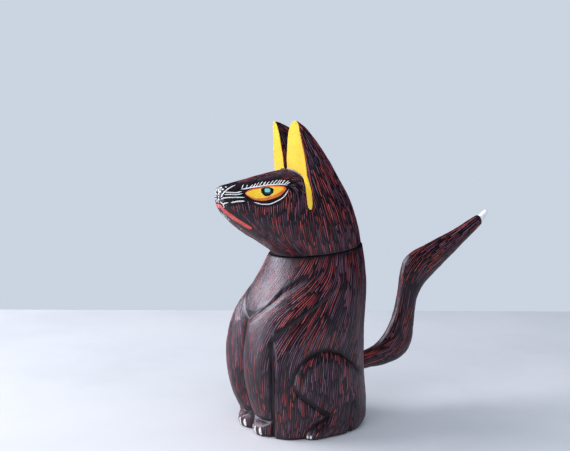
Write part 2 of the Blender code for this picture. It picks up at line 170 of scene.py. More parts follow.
def smooth(stations, at):
    """Values at the given positions of a smooth curve through stations of (position, value, ...)."""
    table = np.array(stations, float)
    place, value = table[:, 0], table[:, 1:]
    slope = np.gradient(value, place, axis=0)
    at = np.clip(np.atleast_1d(at), place[0], place[-1])
    i = np.clip(np.searchsorted(place, at) - 1, 0, len(place) - 2)
    step = (place[i + 1] - place[i])[:, None]
    t = ((at - place[i])[:, None]) / step
    start, end = value[i], value[i + 1]
    leave, arrive = slope[i] * step, slope[i + 1] * step
    return (
        start * (1 + 2 * t) * (1 - t) ** 2
        + end * t**2 * (3 - 2 * t)
        + leave * t * (1 - t) ** 2
        - arrive * t**2 * (1 - t)
    )


def seam_height(y):
    return SEAM_HEIGHT + (y - SEAM_CENTRE_Y) * SEAM_SLOPE


def above_seam(points):
    """How high each point is over the head's lower face."""
    return points[:, 2] - seam_height(points[:, 1]) - SEAM_GAP


def superellipse(angle, power):
    return [np.sign(wave) * np.abs(wave) ** (2 / power) for wave in (np.cos(angle), np.sin(angle))]


def full_turn(count):
    return np.linspace(0, 2 * math.pi, count, endpoint=False)


def new_object(name, points, faces):
    """A smooth-shaded object from points in mm and faces of any size."""
    data = bpy.data.meshes.new(name)
    data.from_pydata((np.asarray(points, float) * MM).tolist(), [], faces)
    data.update()
    data.shade_smooth()
    obj = bpy.data.objects.new(name, data)
    bpy.context.scene.collection.objects.link(obj)
    return obj


def outward(obj):
    """Turns every face of a closed mesh to look out."""
    mesh = bmesh.new()
    mesh.from_mesh(obj.data)
    bmesh.ops.recalc_face_normals(mesh, faces=mesh.faces)
    mesh.to_mesh(obj.data)
    mesh.free()
    return obj


def loft(name, rings):
    """A closed solid through a (rings, points, 3) array, with a fan over each end."""
    rings = np.asarray(rings, float)
    levels, count = rings.shape[:2]
    k = np.arange(count)
    after = (k + 1) % count
    low = np.arange(levels - 1)[:, None] * count
    quads = np.stack([low + k, low + after, low + count + after, low + count + k], axis=2).reshape(-1, 4)
    points = np.vstack([rings.reshape(-1, 3), rings[0].mean(axis=0), rings[-1].mean(axis=0)])
    first, last = levels * count, levels * count + 1
    top = (levels - 1) * count
    fans = [(after[i], i, first) for i in k] + [(top + i, top + after[i], last) for i in k]
    faces = quads.tolist() + [tuple(int(v) for v in fan) for fan in fans]
    return outward(new_object(name, points, faces))


def apply_modifiers(obj):
    graph = bpy.context.evaluated_depsgraph_get()
    data = bpy.data.meshes.new_from_object(obj.evaluated_get(graph))
    obj.modifiers.clear()
    old, obj.data = obj.data, data
    bpy.data.meshes.remove(old)


def boolean(target, cutter, operation):
    """Applies one Boolean and deletes the cutter."""
    modifier = target.modifiers.new(operation, "BOOLEAN")
    modifier.operation = operation
    modifier.object = cutter
    modifier.solver = "MANIFOLD"
    apply_modifiers(target)
    remove(cutter)


def remove(obj):
    data = obj.data
    bpy.data.objects.remove(obj, do_unlink=True)
    bpy.data.meshes.remove(data)


def drill(target, centre, axis, radius, length):
    """Cuts a dowel's hole, of which one half lies in the target."""
    turn = full_turn(72)
    side = np.cross(axis, (1, 0, 0))
    up = np.cross(side, axis)
    ring = (radius + FIT_GAP) * (np.outer(np.cos(turn), side) + np.outer(np.sin(turn), up))
    reach = axis * (length / 2 + BORE_END_GAP)
    boolean(target, loft("drill", [centre - reach + ring, centre + reach + ring]), "DIFFERENCE")


def to_segments(place, line):
    """For each place, its distance from every segment of a line, and the share along each."""
    start, end = line[:-1], line[1:]
    run = end[:, :2] - start[:, :2]
    offset = place[:, None, :] - start[None, :, :2]
    share = np.clip((offset * run).sum(2) / (run * run).sum(1), 0, 1)
    return np.linalg.norm(offset - share[..., None] * run, axis=2), share


def unrolled(line):
    """A line with its degrees round the body turned into mm."""
    line = np.array(line, float)
    line[:, 0] *= math.radians(BODY_RADIUS)
    return line


def groove(place, line, width, power=1.4):
    """Depth of a groove cut along a line whose third column is its depth."""
    line = unrolled(line)
    gap, share = to_segments(place, line)
    deep = line[:-1, 2] + share * (line[1:, 2] - line[:-1, 2])
    return (deep * np.clip(1 - gap / width, 0, 1) ** power).max(axis=1)


def inside(place, outline):
    """Whether each place lies inside a closed outline."""
    x, y = place[:, :1], place[:, 1:]
    start, end = outline, np.roll(outline, -1, axis=0)
    spans = (start[:, 1] > y) != (end[:, 1] > y)
    rise = np.where(end[:, 1] == start[:, 1], 1, end[:, 1] - start[:, 1])
    crosses = x < start[:, 0] + (y - start[:, 1]) / rise * (end[:, 0] - start[:, 0])
    return (spans & crosses).sum(axis=1) % 2 == 1


def carved_depth(direction, height):
    """How far the carving goes in from the log's outline, for directions in degrees."""
    direction = np.abs(direction)
    place = np.stack([direction * math.radians(BODY_RADIUS), height], axis=1)
    arm, leg = np.array(ARM_EDGE, float), np.array(LEG_EDGE, float)
    cuts = [groove(place, *cut) for cut in V_CUTS]

    to_chest = unrolled(CHEST_EDGE)
    chest_side = np.interp(height, to_chest[:, 1], to_chest[:, 0]) - place[:, 0]
    past_edge = np.clip(chest_side / CHEST_FADE, 0, 1)
    cuts.append(smooth(CHEST_SUNK, height)[:, 0] * past_edge**2 * (3 - 2 * past_edge))

    behind_leg = direction > np.interp(height, leg[:, 1], leg[:, 0])
    below_arm = (height < np.interp(direction, arm[:, 0], arm[:, 1])) & behind_leg
    # The flank under the arm slopes out slowly, and so does the leg in front of its edge.
    cuts.append(np.where(below_arm, groove(place, ARM_EDGE, 15, 1), groove(place, ARM_EDGE, 3)))
    cuts.append(np.where(behind_leg, 0, 0.55 * groove(place, LEG_EDGE, 11, 1.8)))

    gap = haunch_gap(place)
    rounded = HAUNCH_RISE * np.clip(1 - gap / 8, 0, 1) ** 1.8
    lowered = HAUNCH_RISE * np.clip(1 - gap / 15, 0, 1) ** 1.2
    haunch = np.where(inside(place, unrolled(HAUNCH_OUTLINE)), rounded, np.where(behind_leg, lowered, 0))
    haunch = haunch + 0.7 * np.exp(-((gap / 0.9) ** 2)) * behind_leg
    cuts.append(haunch * np.clip((150 - direction) / 40, 0, 1))

    toes = np.max([groove(place, line, 1.1, 1.2) for line in TOE_LINES], axis=0)
    paw, foot = (swelling(direction, height, *spot) for spot in (PAW, FOOT))
    return np.max(cuts, axis=0) - paw - foot + toes


def swelling(direction, height, middle, half_wide, level, half_tall, rise):
    across = np.clip(1 - ((direction - middle) / half_wide) ** 2, 0, 1)
    return rise * across * np.clip(1 - ((height - level) / half_tall) ** 2, 0, 1)


def haunch_gap(place):
    """Each place's distance from the haunch's outline."""
    outline = unrolled(HAUNCH_OUTLINE)
    return to_segments(place, np.vstack([outline, outline[:1]]))[0].min(axis=1)


def knife_marks(obj, coarse, fine, kept):
    """Moves a surface in and out a little, as a knife leaves wood, scaled by kept(points), 0 to 1."""
    points, normals = vertex_arrays(obj)
    shift = np.array([
        coarse * noise.noise(Vector(p) / COARSE_SIZE)
        + fine * noise.noise(Vector(p) / FINE_SIZE + Vector((7, 3, 1)))
        for p in points
    ])
    moved = points + normals * np.minimum(shift, MOST_PROUD)[:, None]
    set_points(obj, points + (moved - points) * np.clip(kept(points), 0, 1)[:, None])


def read(items, name, width=3, kind=float):
    """One attribute of a mesh's vertices, edges or faces, a row each."""
    values = np.empty(len(items) * width, kind)
    items.foreach_get(name, values)
    return values.reshape(-1, width)


def vertex_arrays(obj):
    """Each vertex's place in mm and its normal."""
    vertices = obj.data.vertices
    return read(vertices, "co") / MM, read(vertices, "normal")


def set_points(obj, points):
    obj.data.vertices.foreach_set("co", (points * MM).ravel())
    obj.data.update()


def make_torso():
    top = TORSO_SECTIONS[-1][0]
    ends = np.array([0, 0.05, 0.12, 0.24])
    heights = np.concatenate([ends, np.linspace(TORSO_EDGE, top - TORSO_EDGE, 208), top - ends[::-1]])
    half_round = np.radians(np.linspace(0, 180, 201))
    turn = np.concatenate([half_round, -half_round[-2:0:-1]])
    sine, cosine = np.abs(np.sin(turn)), np.abs(np.cos(turn))
    centre, half, front, back, power = (column[:, None] for column in smooth(TORSO_SECTIONS, heights).T)
    forward = np.cos(turn) > 0
    power = np.where(forward, power, BACK_POWER)
    deep = np.where(forward, centre - front, back - centre)
    radius = ((sine / half) ** power + (cosine / deep) ** power) ** (-1 / power)
    x, y = radius * np.sin(turn), centre - radius * np.cos(turn)
    reach = np.hypot(x, y)
    grid = np.broadcast_to(heights[:, None], x.shape)
    direction = np.degrees(np.arctan2(x, -y))
    carved = carved_depth(direction.ravel(), grid.ravel()).reshape(x.shape)
    short = np.maximum(TORSO_EDGE - np.minimum(heights, top - heights), 0)
    bevel = TORSO_EDGE - np.sqrt(np.maximum(TORSO_EDGE**2 - short**2, 0))
    kept = 1 - (np.maximum(carved, -4) + bevel[:, None]) / reach
    x, y = x * kept, y * kept
    z = grid / top * (seam_height(y) - SEAM_GAP)
    torso = loft("cat_torso", np.stack([x, y, z], axis=2))
    knife_marks(torso, 0.2, 0.1, lambda p: np.minimum(p[:, 2], seam_height(p[:, 1]) - p[:, 2]) / 2)
    drill(torso, NECK_CENTRE, NECK_AXIS, NECK_DOWEL_RADIUS, NECK_DOWEL_LENGTH)
    drill(torso, TAIL_ROOT, TAIL_AXIS, TAIL_PEG_RADIUS, TAIL_PEG_LENGTH)
    return torso


def make_hood(name):
    """The back of the head with both ears, before anything is cut from it."""
    base, top = HOOD_SECTIONS[0][0], HOOD_SECTIONS[-1][0]
    across, along = superellipse(full_turn(200), 2.0)
    rings = []
    for share in np.linspace(0, 1, 130):
        half, front, back = smooth(HOOD_SECTIONS, base + share * (top - base))[0]
        x = half * across
        y = (front + back) / 2 + (back - front) / 2 * along
        floor = seam_height(y) + SEAM_GAP
        rings.append(np.stack([x, y, floor + share * (top - floor)], axis=1))
    return loft(name, rings)


def make_face_form():
    """The face from the nose back to inside the hood."""
    turn = full_turn(160)
    places = np.concatenate([[-71.0, -70.8, -70.5, -70.0], np.linspace(-69.3, 2, 108)])
    rings = []
    for y, (half, top, bottom, waist, power) in zip(places, smooth(FACE_SECTIONS, places)):
        across, along = superellipse(turn, np.where(np.sin(turn) > 0, 2.4, power))
        middle = bottom + (top - bottom) * waist
        x = half * across
        z = middle + np.where(along > 0, top - middle, middle - bottom) * along
        z = np.maximum(z, seam_height(y) + SEAM_GAP + 0.08)
        rings.append(np.stack([x, np.full_like(x, y), z], axis=1))
    return loft("face_form", rings)


def ear_frame():
    """The left ear's flat front: its tip, the way it looks, up along it, and to the right."""
    inner, outer, tip = (Vector(p) for p in (EAR_INNER_BASE, EAR_OUTER_BASE, EAR_TIP))
    ahead = (inner - tip).cross(outer - tip).normalized()
    if ahead.y > 0:
        ahead.negate()
    up = (Vector((0, 0, 1)) - ahead * ahead.z).normalized()
    return tip, ahead, up, ahead.cross(up)


def box(name, corners):
    """A six-sided block from its corners, in the order that product() gives them."""
    faces = [(0, 1, 3, 2), (4, 5, 7, 6), (0, 1, 5, 4), (2, 3, 7, 6), (0, 2, 6, 4), (1, 3, 7, 5)]
    return outward(new_object(name, corners, faces))


def ear_block(side, near, far):
    """A block whose faces lie between two distances ahead of the ear's flat front."""
    tip, ahead, up, right = ear_frame()
    foot = tip - up * ((tip.z - HOOD_STEP_BOTTOM) / up.z)
    corners = []
    for reach, level, across in product((near, far), (0, EAR_BLOCK_HEIGHT), (-80, 80)):
        corner = foot + ahead * reach + up * level + right * across
        corners.append((side * corner.x, corner.y, corner.z))
    return box("ear_block", corners)


def gap_block():
    """The block that is cut away between the ears."""
    heights = np.linspace(EAR_GAP_SECTIONS[0][0], EAR_GAP_SECTIONS[-1][0], 60)
    half = smooth(EAR_GAP_SECTIONS, heights)[:, 0]
    outline = np.array([*zip(half, heights), *zip(-half[::-1], heights[::-1])])
    rings = [np.insert(outline, 1, y, axis=1) for y in (-60, 80)]
    return loft("gap_block", rings)


def relax(points, edges, share, rounds):
    """Draws each point towards the middle of its neighbours, by its own share."""
    count = np.bincount(edges.ravel(), minlength=len(points))[:, None]
    for _ in range(rounds):
        total = np.zeros_like(points)
        for axis in range(3):
            for here, there in (edges.T, edges.T[::-1]):
                total[:, axis] += np.bincount(here, points[there, axis], len(points))
        points = points + (total / np.maximum(count, 1) - points) * share[:, None]
    return points


def make_head():
    head = make_hood("cat_head")
    for side in (1, -1):
        boolean(head, ear_block(side, 0, 80), "DIFFERENCE")
    boolean(head, make_face_form(), "UNION")
    boolean(head, gap_block(), "DIFFERENCE")
    modifier = head.modifiers.new("even_mesh", "REMESH")
    modifier.mode = "VOXEL"
    modifier.voxel_size = HEAD_VOXEL * MM
    apply_modifiers(head)
    points, _ = vertex_arrays(head)
    rise = above_seam(points)
    edges = read(head.data.edges, "vertices", 2, np.int64)
    points = relax(points, edges, np.where(rise < 0.9, 0.12, 0.5), 3)
    # The cheek runs into the hood without a crease below the step beside the ear.
    near = np.clip((158 - points[:, 2]) / 8, 0, 1) * np.clip((rise - 0.8) / 3, 0, 1)
    near *= np.clip(1 - np.abs(points[:, 1] + 12) / 16, 0, 1)
    points = relax(points, edges, 0.9 * near, 60)
    set_points(head, points)
    knife_marks(head, 0.18, 0.08, lambda p: above_seam(p) / 3)
    head.data.shade_smooth()
    tree = tree_of(head)
    drill(head, NECK_CENTRE, NECK_AXIS, NECK_DOWEL_RADIUS, NECK_DOWEL_LENGTH)
    return head, tree


def tail_middle():
    """The tail's stations as an array, and the middle line through them as (y, z)."""
    table = np.array(TAIL_STATIONS, float)
    return table, (table[:, :2] + table[:, 2:4]) / 2


def make_tail():
    table, middle = tail_middle()
    run = np.concatenate([[0], np.cumsum(np.hypot(*np.diff(middle, axis=0).T))])
    length = run[-1]
    root, end = [0, 0.25, 0.6], length - np.array([0.5, 0.2, 0])
    places = np.concatenate([root, np.linspace(1.2, length - 1, 190), end])
    line = smooth(np.column_stack([run, table]), places)
    across, along = superellipse(full_turn(88), 2.5)

    def ring(row, inset):
        low_y, low_z, high_y, high_z, thick = row
        span = np.array([high_y - low_y, high_z - low_z]) / 2
        span *= 1 - inset / np.linalg.norm(span)
        y = (low_y + high_y) / 2 + span[0] * along
        z = (low_z + high_z) / 2 + span[1] * along
        return np.stack([(thick - inset) * across, y, z], axis=1)

    insets = np.interp(places, [*root, 1.2, length - 1, *end], [0.7, 0.3, 0.1, 0, 0, 0.12, 0.35, 0.8])
    tail = loft("cat_tail", [ring(row, inset) for row, inset in zip(line, insets)])
    knife_marks(tail, 0.2, 0.1, lambda p: (p[:, 1] - 49) / 3)
    drill(tail, TAIL_ROOT, TAIL_AXIS, TAIL_PEG_RADIUS, TAIL_PEG_LENGTH)

    start, end = np.array(TAIL_TIP, float)
    inner = start - (end - start) * 0.25
    rows = [inner + (end - inner) * share for share in np.linspace(0, 1, 16)]
    insets = [0] * 12 + [0.05, 0.2, 0.5, 1.1]
    stub = loft("tail_white_end", [ring(row, inset) for row, inset in zip(rows, insets)])
    return tail, stub


# ---------------------------------------------------------------- painted strokes

def tree_of(obj):
    """A tree of the mesh in mm."""
    points, _ = vertex_arrays(obj)
    faces = [tuple(polygon.vertices) for polygon in obj.data.polygons]
    return BVHTree.FromPolygons([Vector(p) for p in points], faces)


def face_arrays(obj):
    """Each face's middle, outward normal and area, in mm."""
    faces = obj.data.polygons
    return read(faces, "center") / MM, read(faces, "normal"), read(faces, "area", 1)[:, 0] / MM**2


def blend_samples(samples, place, spread):
    """Values at places from scattered samples of (u, v, value), each counting less with distance."""
    samples = np.array(samples, float)
    out = np.empty(len(place))
    for at in range(0, len(place), 20000):
        part = place[at:at + 20000]
        square = ((part[:, None] - samples[None, :, :2]) ** 2).sum(2)
        weight = 1 / (square + spread**2) ** 1.6
        out[at:at + 20000] = (weight * samples[:, 2]).sum(1) / weight.sum(1)
    return out


STROKE_STEP, FEWEST_POINTS = 0.9, 5
# The share of its spacing that a stroke keeps from others as it runs on, and the cosine of the
# sharpest turn that it follows.
RUNNING_ROOM, SHARPEST_TURN = 0.82, 0.75
# How thin a stroke's ends get, as a share, and how deep its edges and its underside are sunk in.
THINNEST, SUNK_EDGE, SUNK_BASE = 0.12, 0.02, 0.25
# The same for patches of paint: how high the rim stands, as a share, and how deep the underside is.
RIM_SHARE, PATCH_BASE = 0.35, 0.3


class Strokes:
    """Short strokes of thick paint, laid side by side along a surface's grain.

    For each face: grain is a direction, allowed says whether it may be painted, red_share how many
    strokes are red rather than plum, and longest their usual length. Lines holds what was laid.
    """

    def __init__(self, obj, grain, allowed, red_share, longest, seed, spacing):
        self.middles, normals, areas = face_arrays(obj)
        self.tree = tree_of(obj)
        along = grain - normals * (grain * normals).sum(1)[:, None]
        size = np.linalg.norm(along, axis=1)
        self.grain = along / np.maximum(size, 1e-6)[:, None]
        self.allowed = allowed & (size > 0.05)
        self.red_share, self.longest = red_share, longest
        self.random = np.random.default_rng(seed)
        self.spacing = spacing
        self.cells = defaultdict(list)
        self.lines = {"red": [], "plum": []}
        share = areas * self.allowed
        count = int(share.sum() / (spacing * 0.9))
        self.lay(self.random.choice(len(areas), count, p=share / share.sum()))

    def cell(self, point):
        return tuple(math.floor(v / self.spacing) for v in point)

    def crowded(self, point, limit):
        """Whether a laid point is nearer than the square root of limit."""
        x, y, z = point
        for cell in product(*((v - 1, v, v + 1) for v in self.cell(point))):
            for a, b, c in self.cells.get(cell, ()):
                if (a - x) ** 2 + (b - y) ** 2 + (c - z) ** 2 < limit:
                    return True
        return False

    def walk(self, point, face, way, reach):
        """Steps along the grain from a point until the stroke is long enough or meets something."""
        run, found = 0.0, []
        ahead = Vector(self.grain[face]) * way
        limit = (self.spacing * RUNNING_ROOM) ** 2
        while run < reach:
            there, normal, face, _ = self.tree.find_nearest(point + ahead * STROKE_STEP)
            if face is None or not self.allowed[face] or self.crowded(there, limit):
                break
            turned = Vector(self.grain[face])
            if turned.dot(ahead) < 0:
                turned.negate()
            if turned.dot(ahead) < SHARPEST_TURN:
                break
            ahead = (ahead * 0.4 + turned * 0.6).normalized()
            point = there
            found.append((there, normal))
            run += STROKE_STEP
        return found

    def lay(self, seeds):
        rand = self.random
        for face in seeds:
            jitter = Vector(rand.normal(0, 0.3, 3))
            point, normal, face, _ = self.tree.find_nearest(Vector(self.middles[face]) + jitter)
            long = self.longest[face] * rand.uniform(0.75, 1.45)
            chosen = rand.random()
            if not self.allowed[face] or self.crowded(point, self.spacing**2):
                continue
            split = rand.uniform(0.3, 0.7)
            fore = self.walk(point, face, 1, long * split)
            aft = self.walk(point, face, -1, long * (1 - split))
            line = [*reversed(aft), (point, normal), *fore]
            if len(line) < FEWEST_POINTS:
                continue
            for there, _ in line:
                self.cells[self.cell(there)].append(tuple(there))
            colour = "red" if chosen < self.red_share[face] else "plum"
            width = rand.uniform(0.55, 0.85) if colour == "red" else rand.uniform(0.6, 0.92)
            flip = rand.random() < 0.15
            self.lines[colour].append((line[::-1] if flip else line, width, rand.uniform(0, 1)))


def stroke_object(name, lines, lift=0.1, taper=(0.12, 0.4)):
    """One object of closed tapered strokes; each line is ([(point, normal), ...], width, tone)."""
    points, faces, tones = [], [], []
    for line, width, tone in lines:
        place = np.array([tuple(p) for p, _ in line])
        normal = np.array([tuple(n) for _, n in line])
        if len(place) > 4:
            normal[1:-1] = (normal[:-2] + normal[1:-1] * 2 + normal[2:]) / 4
        ahead = np.gradient(place, axis=0)
        side = np.cross(normal, ahead)
        side /= np.maximum(np.linalg.norm(side, axis=1), 1e-9)[:, None]
        normal /= np.maximum(np.linalg.norm(normal, axis=1), 1e-9)[:, None]
        run = np.concatenate([[0], np.cumsum(np.linalg.norm(np.diff(place, axis=0), axis=1))])
        share = run / run[-1]
        full = np.clip(share / taper[0], 0, 1) ** 0.6 * np.clip((1 - share) / taper[1], 0, 1) ** 0.75
        full = np.maximum(full, THINNEST)[:, None]
        half = width / 2 * full
        rows = np.stack([
            place + side * half - normal * SUNK_EDGE,
            place + normal * lift * np.sqrt(full),
            place - side * half - normal * SUNK_EDGE,
            place - normal * SUNK_BASE,
        ], axis=1)
        base, last = len(tones), len(tones) + 4 * len(place) - 4
        points.append(rows.reshape(-1, 3))
        for here, k in product(range(base, last, 4), range(4)):
            after = (k + 1) % 4
            faces.append((here + k, here + after, here + 4 + after, here + 4 + k))
        faces.append((base, base + 3, base + 2, base + 1))
        faces.append((last, last + 1, last + 2, last + 3))
        tones.extend([tone] * (4 * len(place)))
    obj = new_object(name, np.vstack(points), faces)
    attribute = obj.data.attributes.new("tone", "FLOAT", "POINT")
    attribute.data.foreach_set("value", tones)
    return obj


def torso_strokes(torso):
    middles, normals, _ = face_arrays(torso)
    angle = np.degrees(np.arctan2(middles[:, 0], -middles[:, 1]))
    side = np.where(angle < 0, -1.0, 1.0)
    place = np.stack([np.abs(angle) * math.radians(BODY_RADIUS), middles[:, 2]], axis=1)

    def blended(samples, reach):
        return blend_samples([(math.radians(BODY_RADIUS) * d, z, v) for d, z, v in samples], place, reach)

    lean = np.radians(blended([
        (0, 125, 0), (20, 120, 12), (40, 125, 22), (60, 128, 24), (80, 125, 20), (100, 125, 14),
        (120, 120, 8), (150, 120, 3), (180, 120, 0), (30, 95, 36), (45, 100, 44), (60, 105, 46),
        (80, 112, 40), (15, 80, 8), (25, 85, 22), (15, 60, 1), (25, 40, 0), (15, 20, 0),
        (45, 72, 30), (60, 80, 38), (75, 85, 36), (90, 92, 28), (100, 80, 18), (120, 90, 8),
        (60, 65, 24), (80, 70, 16), (45, 50, 5), (45, 20, 0), (60, 20, 2), (90, 70, 10), (140, 60, 1),
        (170, 60, 0), (70, 45, 3), (90, 40, 2), (110, 35, 2), (0, 40, 0), (130, 20, 0), (80, 5, 30),
    ], 5))
    turn = np.radians(angle)
    round_back = np.stack([np.cos(turn) * side, np.sin(turn) * side, 0 * side], axis=1)
    grain = np.cos(lean)[:, None] * (0, 0, 1) + np.sin(lean)[:, None] * round_back

    top = seam_height(middles[:, 1]) - SEAM_GAP
    allowed = (middles[:, 2] > 0.9) & (middles[:, 2] < top - 0.2) & (np.abs(normals[:, 2]) < 0.93)
    # No strokes in the cores of the carved lines nor along the haunch's outline: the bare black ground left
    # there is painted shade in the grooves, laid on the figure's real black ground.
    for line, core in (
        (CENTRE_GROOVE, 2.2), (CHEST_EDGE, 1.2), (ARM_EDGE, 1.1),
        (LEG_EDGE, 1.6), (PAW_EDGE, 1.4), (RUMP_SLIT, 1.1),
    ):
        allowed &= groove(place, line, core, 0.05) < 0.9
    gap = haunch_gap(place)
    allowed &= ~((gap < 1.0) & (np.abs(angle) < 128))
    outward_part = (normals[:, :2] * middles[:, :2]).sum(1) / np.hypot(*middles[:, :2].T)
    allowed &= outward_part > 0.42

    red = blended([
        (10, 125, 0.45), (40, 125, 0.45), (80, 128, 0.62), (110, 126, 0.34), (150, 120, 0.2),
        (180, 100, 0.25), (40, 100, 0.42), (70, 108, 0.45), (60, 80, 0.55), (80, 85, 0.6), (100, 90, 0.4),
        (125, 90, 0.12), (15, 70, 0.45), (25, 50, 0.32), (15, 20, 0.4), (45, 50, 0.42), (45, 20, 0.42),
        (60, 20, 0.42), (90, 40, 0.05), (75, 35, 0.1), (110, 30, 0.05), (100, 60, 0.35), (70, 60, 0.4),
        (130, 30, 0.1), (150, 50, 0.2), (75, 5, 0.25),
    ], 4)
    # The haunch's front rim carries short strokes, most of them red.
    on_rim = inside(place, unrolled(HAUNCH_OUTLINE)) & (gap < 4.5) & (middles[:, 2] > 40)
    on_rim &= (np.abs(angle) > 56) & (np.abs(angle) < 96)
    red = np.where(on_rim, 0.8, red)
    longest = blended([
        (40, 125, 22), (100, 125, 24), (60, 105, 20), (60, 80, 30), (80, 85, 30), (120, 80, 26),
        (15, 70, 16), (20, 30, 13), (45, 40, 15), (45, 10, 12), (80, 45, 15), (100, 30, 14), (160, 60, 20),
        (160, 110, 22), (15, 7, 6), (75, 6, 7),
    ], 4)
    longest = np.where(on_rim, 5.5, longest)
    return Strokes(torso, grain, allowed, red, longest, seed=11, spacing=1.12)


# Parts of the head's side that carry face paint and no strokes, as (y, z) outlines.
CLEAR_OUTLINES = [
    [(-57.5, 183), (-57, 177), (-52, 172.5), (-47, 169.8), (-40, 169.3), (-33, 171.5), (-28, 174.8),
     (-24.5, 181), (-23, 184), (-20.5, 187.5), (-30, 188.6), (-45, 186.8), (-55, 185.5)],
    [(-76, 186), (-57, 186.2), (-54.5, 182), (-54.5, 172), (-64, 171), (-66, 167), (-76, 172)],
    [(-76, 172), (-66, 168.5), (-60, 162.5), (-54, 158.2), (-49.5, 155), (-49, 151.5), (-56, 154.5),
     (-62, 158.5), (-67, 162), (-76, 168)],
]


def head_strokes(head):
    middles, normals, _ = face_arrays(head)
    place = middles[:, 1:]
    angle = blend_samples([
        (-68, 160, 55), (-55, 158, 50), (-50, 150, 52), (-40, 145, 46), (-30, 140, 40), (-20, 138, 34),
        (-10, 137, 25), (0, 137, 18), (10, 140, 14), (25, 140, 14), (-60, 170, 10), (-50, 165, 5),
        (-40, 165, 0), (-30, 165, -4), (-20, 170, -6), (-15, 160, 0), (-30, 155, 8), (-45, 158, 15),
        (-20, 150, 12), (-5, 150, 8), (-22, 182, -16), (-18, 176, -10), (-70, 168, 30),
    ], place, 3)
    on_top = np.clip((normals[:, 2] - 0.35) / 0.3, 0, 1) * (middles[:, 1] < -8) * (middles[:, 2] > 176)
    angle = angle * (1 - on_top) + 82 * on_top
    low, high = (smooth(HOOD_SECTIONS, middles[:, 2] + shift) for shift in (-1.5, 1.5))
    middle = (low[:, 1:3].sum(1) + high[:, 1:3].sum(1)) / 4
    deep = (low[:, 2] - low[:, 1] + high[:, 2] - high[:, 1]) / 4
    share = (middles[:, 1] - middle) / deep
    slant = ((high[:, 1] + high[:, 2] - low[:, 1] - low[:, 2]) / 2
             + share * (high[:, 2] - high[:, 1] - low[:, 2] + low[:, 1]) / 2) / 3
    hood_angle = np.degrees(np.arctan2(-slant, 1)) + 6
    hood = np.clip((middles[:, 1] + 16) / 10, 0, 1)
    hood = np.maximum(hood, middles[:, 2] > 196)
    angle = np.radians(angle * (1 - hood) + hood_angle * hood)
    grain = np.stack([0 * angle, np.sin(angle), -np.cos(angle)], axis=1)
    # Over the back of the hood the strokes gather towards the ears.
    grain[:, 0] = hood * middles[:, 0] / 34 * 0.14

    rise = above_seam(middles)
    # No strokes on the face that meets the torso, nor on the nose's flat front.
    allowed = (rise > 0.4) & ~((normals[:, 2] < -0.93) & (rise < 3)) & (normals[:, 1] > -0.985)
    tip, ahead = (np.array(v) for v in ear_frame()[:2])
    for flip in (1, -1):
        mirrored = middles * (flip, 1, 1)
        over = (mirrored - tip) @ ahead
        flat = (np.abs(over) < 0.7) & ((normals * (flip, 1, 1)) @ ahead > 0.8)
        allowed &= ~(flat & (middles[:, 2] > 163) & (mirrored[:, 0] > 0))
    for outline in CLEAR_OUTLINES:
        allowed &= ~inside(place, np.array(outline, float))
    allowed &= middles[:, 1] > -67
    red = blend_samples([
        (-60, 165, 0.6), (-40, 165, 0.62), (-20, 165, 0.6), (-45, 152, 0.4), (-30, 140, 0.55),
        (-10, 140, 0.65), (10, 140, 0.5), (30, 145, 0.35), (5, 160, 0.6), (0, 180, 0.55), (20, 175, 0.35),
        (0, 205, 0.5), (-10, 225, 0.4), (-20, 175, 0.45), (-40, 190, 0.45), (-60, 180, 0.4),
        (40, 150, 0.25),
    ], place, 3)
    longest = blend_samples([
        (-60, 165, 8), (-40, 160, 10), (-30, 140, 13), (0, 140, 12), (0, 165, 15), (10, 190, 14),
        (-5, 215, 15), (35, 150, 15), (-40, 190, 14),
    ], place, 3)
    return Strokes(head, grain, allowed, red, longest, seed=23, spacing=1.06)


def tail_strokes(tail):
    middles, normals, _ = face_arrays(tail)
    _, middle = tail_middle()
    way = np.gradient(middle, axis=0)
    nearest = ((middles[:, None, 1:] - middle) ** 2).sum(2)
    weight = 1 / (nearest + 4) ** 2
    ahead = weight @ way / weight.sum(1)[:, None]
    grain = np.column_stack([0 * middles[:, 0], ahead / np.linalg.norm(ahead, axis=1)[:, None]])
    start, end = np.array(TAIL_ROOT) + TAIL_AXIS * 2.0, np.array([0, *middle[-1]])
    allowed = (middles - start) @ TAIL_AXIS > 0
    allowed &= (middles - end)[:, 1:] @ way[-1] / np.linalg.norm(way[-1]) < -1.2
    allowed &= np.abs((normals * grain).sum(1)) < 0.8
    red, longest = np.full(len(middles), 0.45), np.full(len(middles), 20.0)
    return Strokes(tail, grain, allowed, red, longest, seed=31, spacing=1.15)


# ---------------------------------------------------------------- face paint

def curve(points, step, closed=False):
    """Points spaced about step apart on a smooth curve through the given ones."""
    points = np.array(points, float)
    if closed:
        points = np.vstack([points[-2:], points, points[:2]])
    else:
        points = np.vstack([2 * points[0] - points[1], points, 2 * points[-1] - points[-2]])
    out = []
    for i in range(2 if closed else 1, len(points) - 2):
        a, b, c, d = points[i - 1:i + 3]
        bend, twist = 2 * a - 5 * b + 4 * c - d, 3 * b - a - 3 * c + d
        parts = max(1, int(round(np.linalg.norm(c - b) / step)))
        for t in np.arange(parts) / parts:
            out.append(0.5 * (2 * b + (c - a) * t + bend * t**2 + twist * t**3))
    if not closed:
        out.append(points[-2])
    return np.array(out)


def brush_line(tree, points, width, side=1, tone=0.5, step=0.5):
    """A stroke along a curve through points near the surface, mirrored when side is -1."""
    line = []
    for point in curve(np.array(points, float) * (side, 1, 1), step):
        there, normal, _, _ = tree.find_nearest(Vector(point))
        line.append((there, normal))
    return line, width, tone


